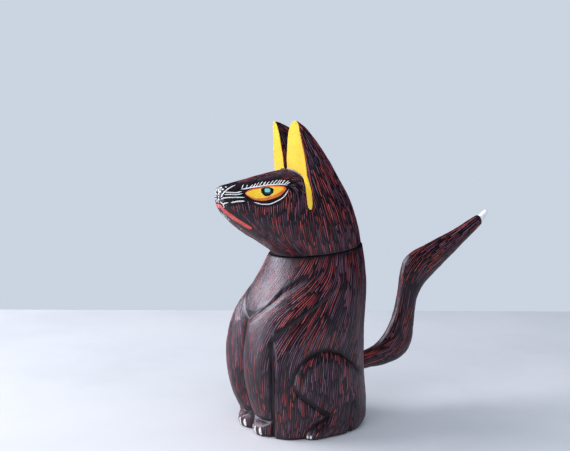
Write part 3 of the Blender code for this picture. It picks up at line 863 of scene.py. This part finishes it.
def patch(name, tree, outline, lift, side=1, step=0.55, closed_curve=True):
    """A thin closed layer of paint over the surface inside an outline given by points near it."""
    outline = np.array(outline, float) * (side, 1, 1)
    rim = curve(outline, step, closed=True) if closed_curve else outline
    centre = rim.mean(axis=0)
    _, _, (u, v, w) = np.linalg.svd(rim - centre)
    flat = np.stack([(rim - centre) @ u, (rim - centre) @ v], axis=1)
    low, high = flat.min(axis=0), flat.max(axis=0)
    xs, ys = (np.arange(low[i] + step / 2, high[i], step) for i in (0, 1))
    grid = np.stack(np.meshgrid(xs, ys), axis=2).reshape(-1, 2)
    grid = grid[inside(grid, flat)]
    gap = to_segments(grid, np.vstack([flat, flat[:1]]))[0].min(axis=1)
    grid = grid[gap > step * 0.5]
    count = len(flat)
    rim_edges = [(i, (i + 1) % count) for i in range(count)]
    verts, _, faces, originals, *_ = delaunay_2d_cdt(
        [Vector(p) for p in np.vstack([flat, grid])], rim_edges, [list(range(count))], 1, 1e-5)
    tops = []
    for vert in verts:
        near = Vector(centre + u * vert.x + v * vert.y)
        there, normal, _, _ = tree.find_nearest(near)
        for _ in range(3):
            # Slide along the surface to the point right under or over this one.
            off = there - near
            way = Vector(w)
            slip = off - way * off.dot(way)
            there, normal, _, _ = tree.find_nearest(there - slip)
        tops.append((there, normal))
    on_rim = {i for i, origin in enumerate(originals) if any(o < count for o in origin)}
    points = [np.array(p + n * (lift * (RIM_SHARE if i in on_rim else 1))) for i, (p, n) in enumerate(tops)]
    under = [np.array(p - n * PATCH_BASE) for p, n in tops]
    total = len(points)
    top_faces = [tuple(face) for face in faces]
    all_faces = top_faces + [tuple(total + i for i in reversed(face)) for face in top_faces]
    border = dict.fromkeys((a, b) for face in top_faces for a, b in zip(face, face[1:] + face[:1]))
    all_faces += [(b, a, total + a, total + b) for a, b in border if (b, a) not in border]
    return outward(new_object(name, np.array(points + under), all_faces))


def join(name, objects):
    """One object from several."""
    mesh = bmesh.new()
    for obj in objects:
        mesh.from_mesh(obj.data)
    data = bpy.data.meshes.new(name)
    mesh.to_mesh(data)
    mesh.free()
    data.shade_smooth()
    for obj in objects:
        remove(obj)
    joined = bpy.data.objects.new(name, data)
    bpy.context.scene.collection.objects.link(joined)
    return joined


# Painted outlines and lines of the left half, as (x, y, z) on or near the head.
EYE = [
    (12.0, -54.5, 178.6), (12.0, -51.6, 180.6), (13.3, -46.7, 181.9), (14.6, -41.7, 182.7),
    (16.1, -36.7, 183.3), (17.9, -31.8, 183.5), (19.5, -28.0, 183.2), (21.0, -26.0, 181.6),
    (21.8, -28.1, 179.3), (21.7, -31.0, 176.8), (20.9, -34.9, 175.1), (19.7, -38.7, 173.9),
    (18.4, -42.3, 173.2), (16.9, -45.9, 173.2), (15.4, -49.4, 174.0), (13.9, -52.0, 175.5),
    (12.8, -54.0, 177.1),
]
EYE_YELLOW = [
    (12.1, -54.1, 178.4), (12.5, -51.3, 180.1), (13.4, -46.9, 181.3), (14.9, -41.9, 182.1),
    (16.5, -36.9, 182.7), (18.2, -32.0, 182.8), (19.4, -28.8, 182.6), (20.5, -27.6, 181.6),
    (21.1, -29.7, 179.8), (20.9, -32.2, 178.2), (20.2, -36.0, 176.6), (19.0, -39.7, 175.5),
    (17.5, -43.3, 174.7), (16.1, -46.9, 174.4), (14.6, -49.9, 175.1), (13.4, -52.3, 176.3),
]
PUPIL = [
    (15.1, -44.2, 180.8), (15.6, -42.9, 182.2), (16.4, -39.8, 182.7), (17.6, -36.3, 182.4),
    (18.5, -34.9, 180.9), (18.8, -35.7, 178.4), (18.4, -38.1, 176.3), (18.0, -40.5, 175.6),
    (17.0, -42.6, 176.6), (15.7, -44.0, 178.7),
]
UNDER_EYE = [
    (15.4, -49.7, 172.2), (17.2, -46.0, 171.0), (18.2, -43.7, 170.6), (19.7, -40.1, 170.6),
    (20.7, -37.7, 171.2), (21.8, -34.0, 172.8), (22.7, -30.1, 175.0), (22.7, -27.1, 177.8),
    (21.9, -24.6, 181.0),
]
LASH_FEET = [
    (9.7, -56.1, 181.8), (10.7, -53.5, 181.8), (11.2, -50.9, 182.4), (12.0, -48.1, 182.7),
    (12.6, -46.1, 182.9), (13.1, -43.8, 183.4), (13.9, -41.3, 183.6), (14.7, -38.8, 184.0),
    (15.5, -36.6, 184.1), (16.2, -34.4, 184.3), (16.8, -32.4, 184.4), (17.7, -30.2, 184.4),
    (18.4, -28.5, 184.3), (19.1, -27.2, 184.0), (19.7, -26.0, 183.7),
]
LASH_TOPS = [
    (7.8, -53.7, 184.5), (9.0, -51.2, 184.4), (10.6, -47.7, 184.4), (10.7, -45.4, 185.1),
    (10.9, -42.9, 185.8), (11.4, -40.2, 186.4), (12.5, -38.2, 186.3), (13.4, -35.7, 186.5),
    (14.0, -32.8, 187.0), (14.7, -29.7, 187.5), (15.4, -28.0, 187.5), (15.7, -26.4, 187.7),
    (16.6, -24.5, 187.4), (18.0, -22.4, 186.9), (19.1, -21.8, 185.9),
]
LASH_LINE = [
    (9.7, -57.0, 181.3), (10.7, -54.1, 181.7), (12.0, -49.0, 182.5), (13.5, -44.0, 183.3),
    (14.9, -39.0, 183.9), (16.6, -34.0, 184.3), (18.2, -29.0, 184.4), (20.3, -24.6, 183.6),
]
# Each whisker and its width.
WHISKERS = [
    ([(6.3, -68.4, 179.3), (8.0, -65.3, 179.2), (9.7, -61.1, 179.0), (10.8, -56.5, 179.8)], 0.9),
    ([(6.7, -68.7, 177.6), (8.7, -64.8, 177.8), (10.1, -61.3, 177.6), (11.5, -56.3, 178.3)], 0.8),
    ([(4.8, -70.6, 174.2), (7.2, -68.4, 175.4), (10.1, -62.7, 175.7), (12.7, -55.2, 175.6)], 0.9),
    ([(9.3, -64.9, 172.0), (11.3, -60.5, 172.8), (13.1, -55.4, 173.0)], 1.1),
    ([(4.0, -70.8, 172.6), (6.0, -69.0, 171.0), (7.4, -67.9, 171.7), (8.6, -66.3, 172.1)], 0.9),
    ([(4.9, -70.6, 175.6), (5.9, -69.6, 177.6), (6.7, -68.2, 179.9), (6.2, -63.6, 182.7),
      (5.6, -58.9, 184.3)], 1.0),
    ([(5.6, -69.0, 170.9), (6.0, -68.6, 169.4), (5.5, -68.3, 168.0)], 0.7),
    ([(7.3, -67.6, 169.9), (7.7, -67.2, 169.6)], 0.9),
    ([(0.9, -70.2, 181.6), (2.6, -71.0, 179.6), (3.1, -71.0, 176.8)], 1.5),
]
NOSE_CENTRE = (0.0, -71.0, 175.2)
# White rays on the flat front of the nose: degrees from the side, start and end radius, width.
NOSE_RAYS = [(62, 1.6, 3.6, 1.1), (18, 1.4, 3.6, 1.2), (-24, 1.5, 4.0, 1.2), (-64, 1.5, 4.2, 1.2)]
TEETH = [
    [(2.0, -67.3, 164.4), (0.6, -65.2, 161.8)], [(2.1, -63.7, 160.4), (1.1, -61.5, 158.1)],
    [(2.6, -66.0, 162.9), (1.1, -63.8, 160.4)], [(3.5, -54.6, 152.8), (3.4, -53.2, 151.7)],
]
MOUTH_UPPER = [
    (3.0, -70.4, 170.2), (4.6, -69.2, 169.2), (5.6, -67.9, 167.4), (7.1, -65.3, 165.0),
    (8.6, -62.1, 162.4), (9.6, -58.3, 159.5), (10.9, -54.7, 157.1), (12.3, -49.9, 153.9),
]
MOUTH_LOWER = [
    (11.6, -49.2, 152.8), (10.6, -49.9, 152.3), (9.1, -52.3, 153.2), (8.2, -56.1, 155.7),
    (6.8, -59.7, 158.1), (5.2, -63.0, 160.5), (3.9, -66.0, 163.4), (2.8, -68.0, 165.8),
    (2.2, -69.4, 167.8),
]
# The red strokes between the lips in front: half length, height.
LIP_FRONT = [(2.9, 169.7), (2.4, 168.7), (2.6, 167.7)]
NOSE_TOP = [
    (0.0, -69.6, 182.3), (1.6, -69.8, 182.0), (3.4, -70.9, 179.0), (4.6, -70.5, 178.2),
    (6.1, -68.0, 180.2), (5.8, -64.5, 182.5), (5.2, -61.6, 183.8), (3.0, -57.9, 185.5),
    (0.0, -56.6, 185.9),
]
CHEEK_STRIP = [
    (19.3, -11.3, 189.3), (22.4, -11.2, 184.0), (25.3, -12.2, 179.0), (27.1, -12.5, 174.7),
    (28.3, -12.7, 170.3), (28.9, -12.4, 167.6), (29.4, -11.2, 165.9), (29.6, -9.8, 166.4),
    (28.8, -8.6, 170.2), (27.3, -8.2, 175.3), (26.1, -7.8, 179.0), (25.2, -8.6, 183.4),
    (24.0, -9.7, 188.8),
]
STRIP_OUTLINE = [
    (14.0, -16.0, 191.8), (18.6, -12.9, 189.0), (21.8, -12.2, 184.0), (24.7, -13.2, 179.0),
    (26.6, -13.5, 174.7), (27.8, -13.7, 170.3), (28.5, -13.3, 166.6), (29.2, -11.5, 164.9),
]
EAR_OUTLINE = [
    (15.6, -14.6, 229.0), (18.9, -14.6, 226.0), (20.0, -13.6, 219.0), (21.5, -11.9, 210.0),
    (22.8, -10.3, 202.0), (23.6, -9.0, 195.0), (24.9, -8.1, 187.0), (26.4, -7.0, 179.0),
    (28.2, -7.2, 172.5),
]
NOSE_DOTS = [(2.7, -68.9, 182.3), (4.6, -66.2, 182.8), (4.9, -68.7, 181.0), (4.1, -70.4, 179.5)]
# The eye from the outside in: paint, name, outline, lift.
EYE_PATCHES = [
    ("orange", "eye_rim", EYE, 0.16), ("yellow", "eye_yellow", EYE_YELLOW, 0.24),
    ("black", "pupil", PUPIL, 0.32),
]
# Paint, name, centre, radius, lift, stretch.
EYE_DOTS = [
    ("blue", "iris_shade", (17.5, -39.4, 179.4), 2.2, 0.38, 1.15),
    ("turquoise", "iris", (17.1, -39.5, 180.2), 2.0, 0.43, 1.2),
    ("green", "iris_middle", (17.0, -39.7, 180.1), 0.8, 0.48, 1.1),
]
# A distance from the axis that is outside the feet.
OUTSIDE = 60
# Degrees from the front, top, bottom, width.
CLAWS = [
    (8.5, 6.6, 1.0, 2.0), (14.3, 7.0, 1.0, 2.1), (20.6, 6.8, 1.0, 2.2), (64.2, 3.6, 0.6, 1.5),
    (67.0, 3.6, 0.6, 1.5),
]


def mirrored_patch(name, tree, half, lift):
    """A patch across the middle, from the half outline on the left."""
    other = [(-x, y, z) for x, y, z in reversed(half) if x > 0]
    return patch(name, tree, [*half, *other], lift)


def dot(name, tree, centre, radius, lift, side, stretch):
    """A round spot of paint on the surface near centre."""
    centre = Vector(np.array(centre, float) * (side, 1, 1))
    there, normal, _, _ = tree.find_nearest(centre)
    across = normal.cross(Vector((0, 0, 1))).normalized()
    up = across.cross(normal)
    ring = [
        there + across * math.cos(turn) * radius * stretch + up * math.sin(turn) * radius
        for turn in full_turn(14)
    ]
    return patch(name, tree, [tuple(p) for p in ring], lift, 1, step=min(0.5, radius / 2))


def paint_face(tree):
    """The painted features, as {paint: [pieces]}, all on the head."""
    made = defaultdict(list)
    white, black, red = [], [], []
    rand = np.random.default_rng(5)
    for side in (1, -1):
        for paint, name, outline, lift in EYE_PATCHES:
            made[paint].append(patch(name, tree, outline, lift, side))
        for paint, name, centre, radius, lift, stretch in EYE_DOTS:
            made[paint].append(dot(name, tree, centre, radius, lift, side, stretch))
        white.append(brush_line(tree, LASH_LINE, 1.15, side))
        for foot, top in zip(LASH_FEET, LASH_TOPS):
            bend = (np.array(foot) + top) / 2 + rand.normal(0, 0.12, 3)
            white.append(brush_line(tree, [foot, bend, top], rand.uniform(0.62, 0.85), side, step=0.4))
        white.append(brush_line(tree, UNDER_EYE, 0.85, side))
        for line, width in WHISKERS:
            white.append(brush_line(tree, line, width, side))
        for line in TEETH:
            white.append(brush_line(tree, line, 0.7, side))
        for turn, start, end, width in NOSE_RAYS:
            turn = math.radians(turn)
            ray = np.array((math.cos(turn), 0, math.sin(turn)))
            ends = [np.array(NOSE_CENTRE) + ray * reach for reach in (start, (start + end) / 2, end)]
            white.append(brush_line(tree, ends, width, side, step=0.35))
        for centre in NOSE_DOTS:
            made["white"].append(dot("nose_dot", tree, centre, 0.68, 0.34, side, 1.2))
    made["black"].append(mirrored_patch("nose_top", tree, NOSE_TOP, 0.16))
    lips = [
        brush_line(tree, [(-half, -70.6, z), (0, -71.0, z), (half, -70.6, z)], 1.3)
        for half, z in LIP_FRONT
    ]
    made["coral"].append(stroke_object("lip_front", lips, 0.2, (0.05, 0.05)))
    for side in (1, -1):
        made["coral"].append(patch("mouth", tree, [*MOUTH_UPPER, *MOUTH_LOWER], 0.2, side))
        made["ear"].append(patch("cheek_strip", tree, CHEEK_STRIP, 0.2, side, closed_curve=False))
        red.append(brush_line(tree, EAR_OUTLINE, 0.8, side, 0.7))
        black.append(brush_line(tree, STRIP_OUTLINE, 1.3, side))
    made["white"].append(stroke_object("white_lines", white, 0.2, (0.1, 0.15)))
    made["black"].append(stroke_object("black_lines", black, 0.26, (0.1, 0.2)))
    made["red"].append(stroke_object("red_lines", red, 0.16, (0.1, 0.1)))
    return made


def make_ear_paint():
    """The flat yellow front of each ear with the strip that runs down beside the cheek."""
    plates = []
    for side in (1, -1):
        plate = make_hood("ear_plate")
        boolean(plate, ear_block(side, -0.35, 0.14), "INTERSECT")
        corners = [(side * x, y, z) for x, y, z in product((0.02, 90), (-90, 90), (100, 260))]
        boolean(plate, box("half", corners), "INTERSECT")
        boolean(plate, make_face_form(), "DIFFERENCE")
        boolean(plate, gap_block(), "DIFFERENCE")
        plates.append(plate)
    ears = join("ear_yellow_fronts", plates)
    ears.data.set_sharp_from_angle(angle=math.radians(40))
    return ears


def claw(tree, angle, top, bottom, width, side):
    """A white claw painted down a toe."""
    turn = math.radians(angle)
    across = Vector((math.cos(turn) * side, math.sin(turn), 0))
    rim = []
    for z, half in (
        (top, 0.0), (top - 0.6, 0.32), ((top + bottom) / 2, 0.5), (bottom + 0.7, 0.45), (bottom, 0.12),
    ):
        start = Vector((side * math.sin(turn) * OUTSIDE, -math.cos(turn) * OUTSIDE, z))
        there, *_ = tree.ray_cast(start, Vector((-start.x, -start.y, 0)).normalized())
        rim.append((there, across * half * width))
    left = [tuple(p - a) for p, a in rim]
    right = [tuple(p + a) for p, a in reversed(rim[1:])]
    return patch("claw", tree, left + right, 0.22, step=0.35)


# ---------------------------------------------------------------- materials

class Paint:
    """Builds one procedural material."""

    def __init__(self, name, roughness=0.45, specular=0.5):
        self.material = bpy.data.materials.new(name)
        self.material.use_nodes = True
        self.tree = self.material.node_tree
        self.shader = self.tree.nodes["Principled BSDF"]
        self.shader.inputs["Roughness"].default_value = roughness
        self.shader.inputs["Specular IOR Level"].default_value = specular
        self.place = self.node("ShaderNodeTexCoord").outputs["Object"]

    def node(self, kind, **values):
        node = self.tree.nodes.new(kind)
        for name, value in values.items():
            setattr(node, name, value)
        return node

    def link(self, output, target):
        self.tree.links.new(output, target)

    def noise(self, scale, detail=4.0, rough=0.5, stretch=None):
        node = self.node("ShaderNodeTexNoise")
        node.inputs["Scale"].default_value = scale
        node.inputs["Detail"].default_value = detail
        node.inputs["Roughness"].default_value = rough
        place = self.place
        if stretch:
            mapping = self.node("ShaderNodeMapping")
            mapping.inputs["Scale"].default_value = stretch
            self.link(place, mapping.inputs["Vector"])
            place = mapping.outputs["Vector"]
        self.link(place, node.inputs["Vector"])
        return node.outputs["Fac"]

    def ramp(self, value, stops):
        node = self.node("ShaderNodeValToRGB")
        while len(node.color_ramp.elements) < len(stops):
            node.color_ramp.elements.new(0.5)
        for element, (position, colour) in zip(node.color_ramp.elements, stops):
            element.position = position
            element.color = (*colour, 1) if isinstance(colour, tuple) else (colour, colour, colour, 1)
        self.link(value, node.inputs["Fac"])
        return node.outputs["Color"]

    def mix(self, factor, first, second, blend="MIX"):
        node = self.node("ShaderNodeMix", data_type="RGBA", blend_type=blend)
        for name, value in (("Factor", factor), ("A", first), ("B", second)):
            socket = node.inputs[name]
            if isinstance(value, (int, float)):
                socket.default_value = value
            elif isinstance(value, tuple):
                socket.default_value = (*value, 1)
            else:
                self.link(value, socket)
        return node.outputs["Result"]

    def bump(self, height, strength, distance):
        node = self.node("ShaderNodeBump")
        node.inputs["Strength"].default_value = strength
        node.inputs["Distance"].default_value = distance
        self.link(height, node.inputs["Height"])
        self.link(node.outputs["Normal"], self.shader.inputs["Normal"])

    def colour(self, output):
        self.link(output, self.shader.inputs["Base Color"])

    def rough(self, value, low, high):
        self.link(self.ramp(value, [(0.3, low), (0.7, high)]), self.shader.inputs["Roughness"])


def dark_paint():
    """The black ground under the strokes, a little streaked and worn."""
    paint = Paint("dark_satin_paint", specular=0.42)
    base = paint.ramp(paint.noise(70, 5, 0.6), [
        (0.3, (0.003, 0.003, 0.005)), (0.55, (0.007, 0.005, 0.009)), (0.75, (0.016, 0.008, 0.013)),
    ])
    grain = paint.ramp(paint.noise(260, 4, 0.6, (1, 1, 0.12)), [(0.45, 0.0), (0.7, 0.45)])
    base = paint.mix(grain, base, (0.035, 0.014, 0.022))
    wear = paint.ramp(paint.noise(62, 9, 0.75), [(0.64, 0.0), (0.67, 0.8)])
    patchy = paint.ramp(paint.noise(24, 3, 0.5), [(0.53, 0.0), (0.6, 1.0)])
    scuff = paint.mix(1.0, wear, patchy, "MULTIPLY")
    paint.colour(paint.mix(scuff, base, (0.20, 0.16, 0.14)))
    paint.rough(paint.noise(120, 4, 0.55), 0.34, 0.46)
    streaks = paint.noise(330, 4, 0.6, (1, 1, 0.2))
    paint.bump(paint.mix(0.4, streaks, paint.noise(1500, 2, 0.5)), 0.35, 0.0004)
    return paint.material


def stroke_paint(name, dark, middle, light, roughness):
    """Paint whose colour changes from stroke to stroke and thins out along each one."""
    paint = Paint(name, roughness, 0.35)
    tone = paint.node("ShaderNodeAttribute", attribute_name="tone").outputs["Fac"]
    base = paint.ramp(tone, [(0.0, dark), (0.5, middle), (1.0, light)])
    thin = paint.ramp(paint.noise(420, 4, 0.6, (1, 1, 0.35)), [(0.35, 0.0), (0.68, 0.6)])
    dimmer = tuple(channel * 0.45 for channel in dark)
    paint.colour(paint.mix(thin, base, dimmer))
    paint.rough(paint.noise(200, 3), roughness - 0.06, roughness + 0.1)
    paint.bump(paint.noise(900, 3, 0.6), 0.25, 0.0002)
    return paint.material


def flat_paint(name, low, high, roughness, scale=180, specular=0.5):
    """Brushed opaque paint in two close shades."""
    paint = Paint(name, roughness, specular)
    paint.colour(paint.ramp(paint.noise(scale, 4, 0.6), [(0.35, low), (0.65, high)]))
    paint.rough(paint.noise(240, 3), roughness - 0.05, roughness + 0.08)
    paint.bump(paint.noise(700, 4, 0.6, (1, 0.35, 0.35)), 0.2, 0.0002)
    return paint.material


def bare_wood():
    """The unpainted wood of the dowel and the peg."""
    paint = Paint("bare_copal_wood", 0.7, 0.3)
    rings = paint.noise(160, 5, 0.6, (1, 1, 0.08))
    base = paint.ramp(rings, [
        (0.3, (0.42, 0.28, 0.15)), (0.5, (0.56, 0.41, 0.24)), (0.72, (0.66, 0.52, 0.34)),
    ])
    pores = paint.ramp(paint.noise(1400, 2, 0.5, (1, 1, 0.1)), [(0.62, 0.0), (0.7, 0.5)])
    paint.colour(paint.mix(pores, base, (0.25, 0.15, 0.08)))
    paint.rough(rings, 0.62, 0.78)
    paint.bump(rings, 0.3, 0.0003)
    return paint.material


def finish_piece(obj, body, material):
    obj.data.materials.clear()
    obj.data.materials.append(material)
    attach(obj, body)


# ---------------------------------------------------------------- the figure

# Stroke paints: the darkest, the middle and the lightest stroke.
RED = ((0.15, 0.018, 0.024), (0.36, 0.044, 0.048), (0.60, 0.100, 0.085))
PLUM = ((0.042, 0.018, 0.038), (0.110, 0.046, 0.084), (0.26, 0.120, 0.190))
# Flat paints: what flat_paint takes.
FLAT_PAINTS = {
    "white": ("white_paint", (0.72, 0.72, 0.74), (0.88, 0.88, 0.88), 0.42),
    "orange": ("orange_paint", (0.60, 0.075, 0.025), (0.80, 0.20, 0.03), 0.4),
    "yellow": ("eye_yellow_paint", (0.86, 0.50, 0.01), (0.92, 0.66, 0.04), 0.4, 90),
    "black": ("black_paint", (0.004, 0.005, 0.007), (0.012, 0.012, 0.016), 0.35),
    "turquoise": ("turquoise_paint", (0.10, 0.52, 0.50), (0.20, 0.66, 0.64), 0.35),
    "coral": ("coral_paint", (0.62, 0.055, 0.055), (0.78, 0.11, 0.09), 0.42),
    "blue": ("dark_blue_paint", (0.015, 0.04, 0.09), (0.03, 0.08, 0.14), 0.35),
    "green": ("green_paint", (0.06, 0.42, 0.22), (0.10, 0.55, 0.30), 0.35),
    "ear": ("ear_yellow_paint", (0.84, 0.54, 0.035), (0.90, 0.62, 0.055), 0.5, 70, 0.15),
}
# The pieces of face paint, by paint.
FACE_PIECES = {
    "white": "face_white_lines", "orange": "eye_orange_rims", "yellow": "eye_yellow", "black": "face_black",
    "turquoise": "eye_turquoise", "coral": "mouth_red", "blue": "eye_dark_blue",
    "green": "eye_green_middles", "ear": "cheek_yellow_strips", "red": "ear_red_outlines",
}


def make_figure():
    dark = dark_paint()
    red = stroke_paint("red_strokes_paint", *RED, 0.38)
    plum = stroke_paint("plum_strokes_paint", *PLUM, 0.38)
    paints = {key: flat_paint(*values) for key, values in FLAT_PAINTS.items()}
    paints["red"] = red

    torso = make_torso()
    finish_piece(torso, "torso", dark)
    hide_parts("torso")
    head, head_tree = make_head()
    finish_piece(head, "head", dark)
    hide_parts("head")
    tail, stub = make_tail()
    finish_piece(tail, "tail", dark)
    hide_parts("tail")
    finish_piece(stub, "tail", paints["white"])

    for part, strokes in (
        ("torso", torso_strokes(torso)), ("head", head_strokes(head)), ("tail", tail_strokes(tail)),
    ):
        for colour, material in (("red", red), ("plum", plum)):
            piece = stroke_object(f"{part}_{colour}_strokes", strokes.lines[colour])
            finish_piece(piece, part, material)

    made = paint_face(head_tree)
    for colour, name in FACE_PIECES.items():
        finish_piece(join(name, made[colour]), "head", paints[colour])
    ears = make_ear_paint()
    ears.visible_glossy = False
    finish_piece(ears, "head", paints["ear"])

    torso_tree = tree_of(torso)
    claws = [claw(torso_tree, *row, side) for side in (1, -1) for row in CLAWS]
    finish_piece(join("white_claws", claws), "torso", paints["white"])

    wood = bare_wood()
    for name in ("neck_dowel", "tail_peg"):
        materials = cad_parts[name].data.materials
        materials.clear()
        materials.append(wood)


# ---------------------------------------------------------------- the stage

# The photo's camera, as fitted: degrees from the front, m, and focal length in the photo's pixels.
CAMERA_AZIMUTH, CAMERA_PAN, CAMERA_TILT = 59.13, -1.09, 5.84
CAMERA_DISTANCE, CAMERA_HEIGHT = 0.69122, 0.22222
FOCAL_PIXELS, PHOTO_WIDTH, SENSOR = 917.74, 570, 36
LIGHTS_AIM = Vector((0, 0.02, 0.12))
WARM = (1.0, 0.97, 0.96)


def aim(camera):
    """Puts the camera where the photo's was: looking at the upright axis, then panned and tilted down."""
    a, p, t = (math.radians(v) for v in (CAMERA_AZIMUTH, CAMERA_PAN, CAMERA_TILT))
    place = Vector((math.sin(a) * CAMERA_DISTANCE, -math.cos(a) * CAMERA_DISTANCE, CAMERA_HEIGHT))
    ahead, side = Vector((-math.sin(a), math.cos(a), 0)), Vector((math.cos(a), math.sin(a), 0))
    level = ahead * math.cos(p) + side * math.sin(p)
    right = side * math.cos(p) - ahead * math.sin(p)
    forward = level * math.cos(t) - Vector((0, 0, math.sin(t)))
    up = right.cross(forward)
    turned = Matrix((right, up, -forward)).transposed().to_4x4()
    camera.matrix_world = Matrix.Translation(place) @ turned


def area_light(name, place, size, power, colour, hidden_from):
    data = bpy.data.lights.new(name, "AREA")
    data.shape, data.size, data.energy, data.color = "DISK", size, power, colour
    light = bpy.data.objects.new(name, data)
    light.location = place
    light.rotation_mode = "QUATERNION"
    light.rotation_quaternion = (LIGHTS_AIM - place).to_track_quat("-Z", "Y")
    light.visible_camera = False
    setattr(light, f"visible_{hidden_from}", False)
    bpy.context.scene.collection.objects.link(light)


def make_floor(toward, right):
    """A pale floor that ends behind the figure, as the marble in the photo does."""
    back, front, wide = 0.44, 1.6, 1.6
    corners = [toward * ahead + right * across for ahead, across in (
        (-back, -wide), (-back, wide), (front, wide), (front, -wide),
    )]
    floor = new_object("floor", [tuple(corner / MM) for corner in corners], [(3, 2, 1, 0)])
    floor.location.z = -0.0004
    marble = Paint("pale_floor", 0.6, 0.3)
    marble.colour(marble.ramp(marble.noise(3.2, 9, 0.62), [
        (0.38, (0.56, 0.58, 0.62)), (0.5, (0.60, 0.62, 0.66)), (0.62, (0.63, 0.64, 0.68)),
    ]))
    floor.data.materials.append(marble.material)


def make_world():
    world = bpy.data.worlds.new("soft_studio")
    bpy.context.scene.world = world
    world.use_nodes = True
    background = world.node_tree.nodes["Background"]
    background.inputs["Color"].default_value = (0.597, 0.658, 0.753, 1)
    background.inputs["Strength"].default_value = 1.0
    world.cycles_visibility.glossy = False


def make_lights(toward, right):
    """Window light from the left. Each lamp either lights the surfaces or glints on them."""
    window = toward * -0.1 - right * 0.95 + Vector((0, 0, 0.8))
    area_light("key", window, 0.8, 13, WARM, "glossy")
    area_light("sheen", window - toward * 0.12, 1.2, 44, (0.88, 0.86, 1.0), "diffuse")
    low = toward * 0.5 - right * 0.85 + Vector((0, 0, 0.1))
    area_light("low_sheen", low, 0.7, 10, (0.88, 0.78, 1.0), "diffuse")
    above = toward * 0.9 - right * 0.2 + Vector((0, 0, 0.9))
    area_light("fill", above, 1.2, 6, WARM, "glossy")


def make_camera():
    camera = bpy.data.objects.new("camera", bpy.data.cameras.new("camera"))
    bpy.context.scene.collection.objects.link(camera)
    camera.data.sensor_fit, camera.data.sensor_width = "HORIZONTAL", SENSOR
    camera.data.lens = FOCAL_PIXELS * SENSOR / PHOTO_WIDTH
    camera.data.clip_start = 0.02
    aim(camera)
    bpy.context.scene.camera = camera


def make_stage():
    a = math.radians(CAMERA_AZIMUTH)
    toward, right = Vector((math.sin(a), -math.cos(a), 0)), Vector((math.cos(a), math.sin(a), 0))
    make_floor(toward, right)
    make_world()
    make_lights(toward, right)
    make_camera()
    bpy.context.scene.view_settings.view_transform = "Standard"


make_figure()
make_stage()
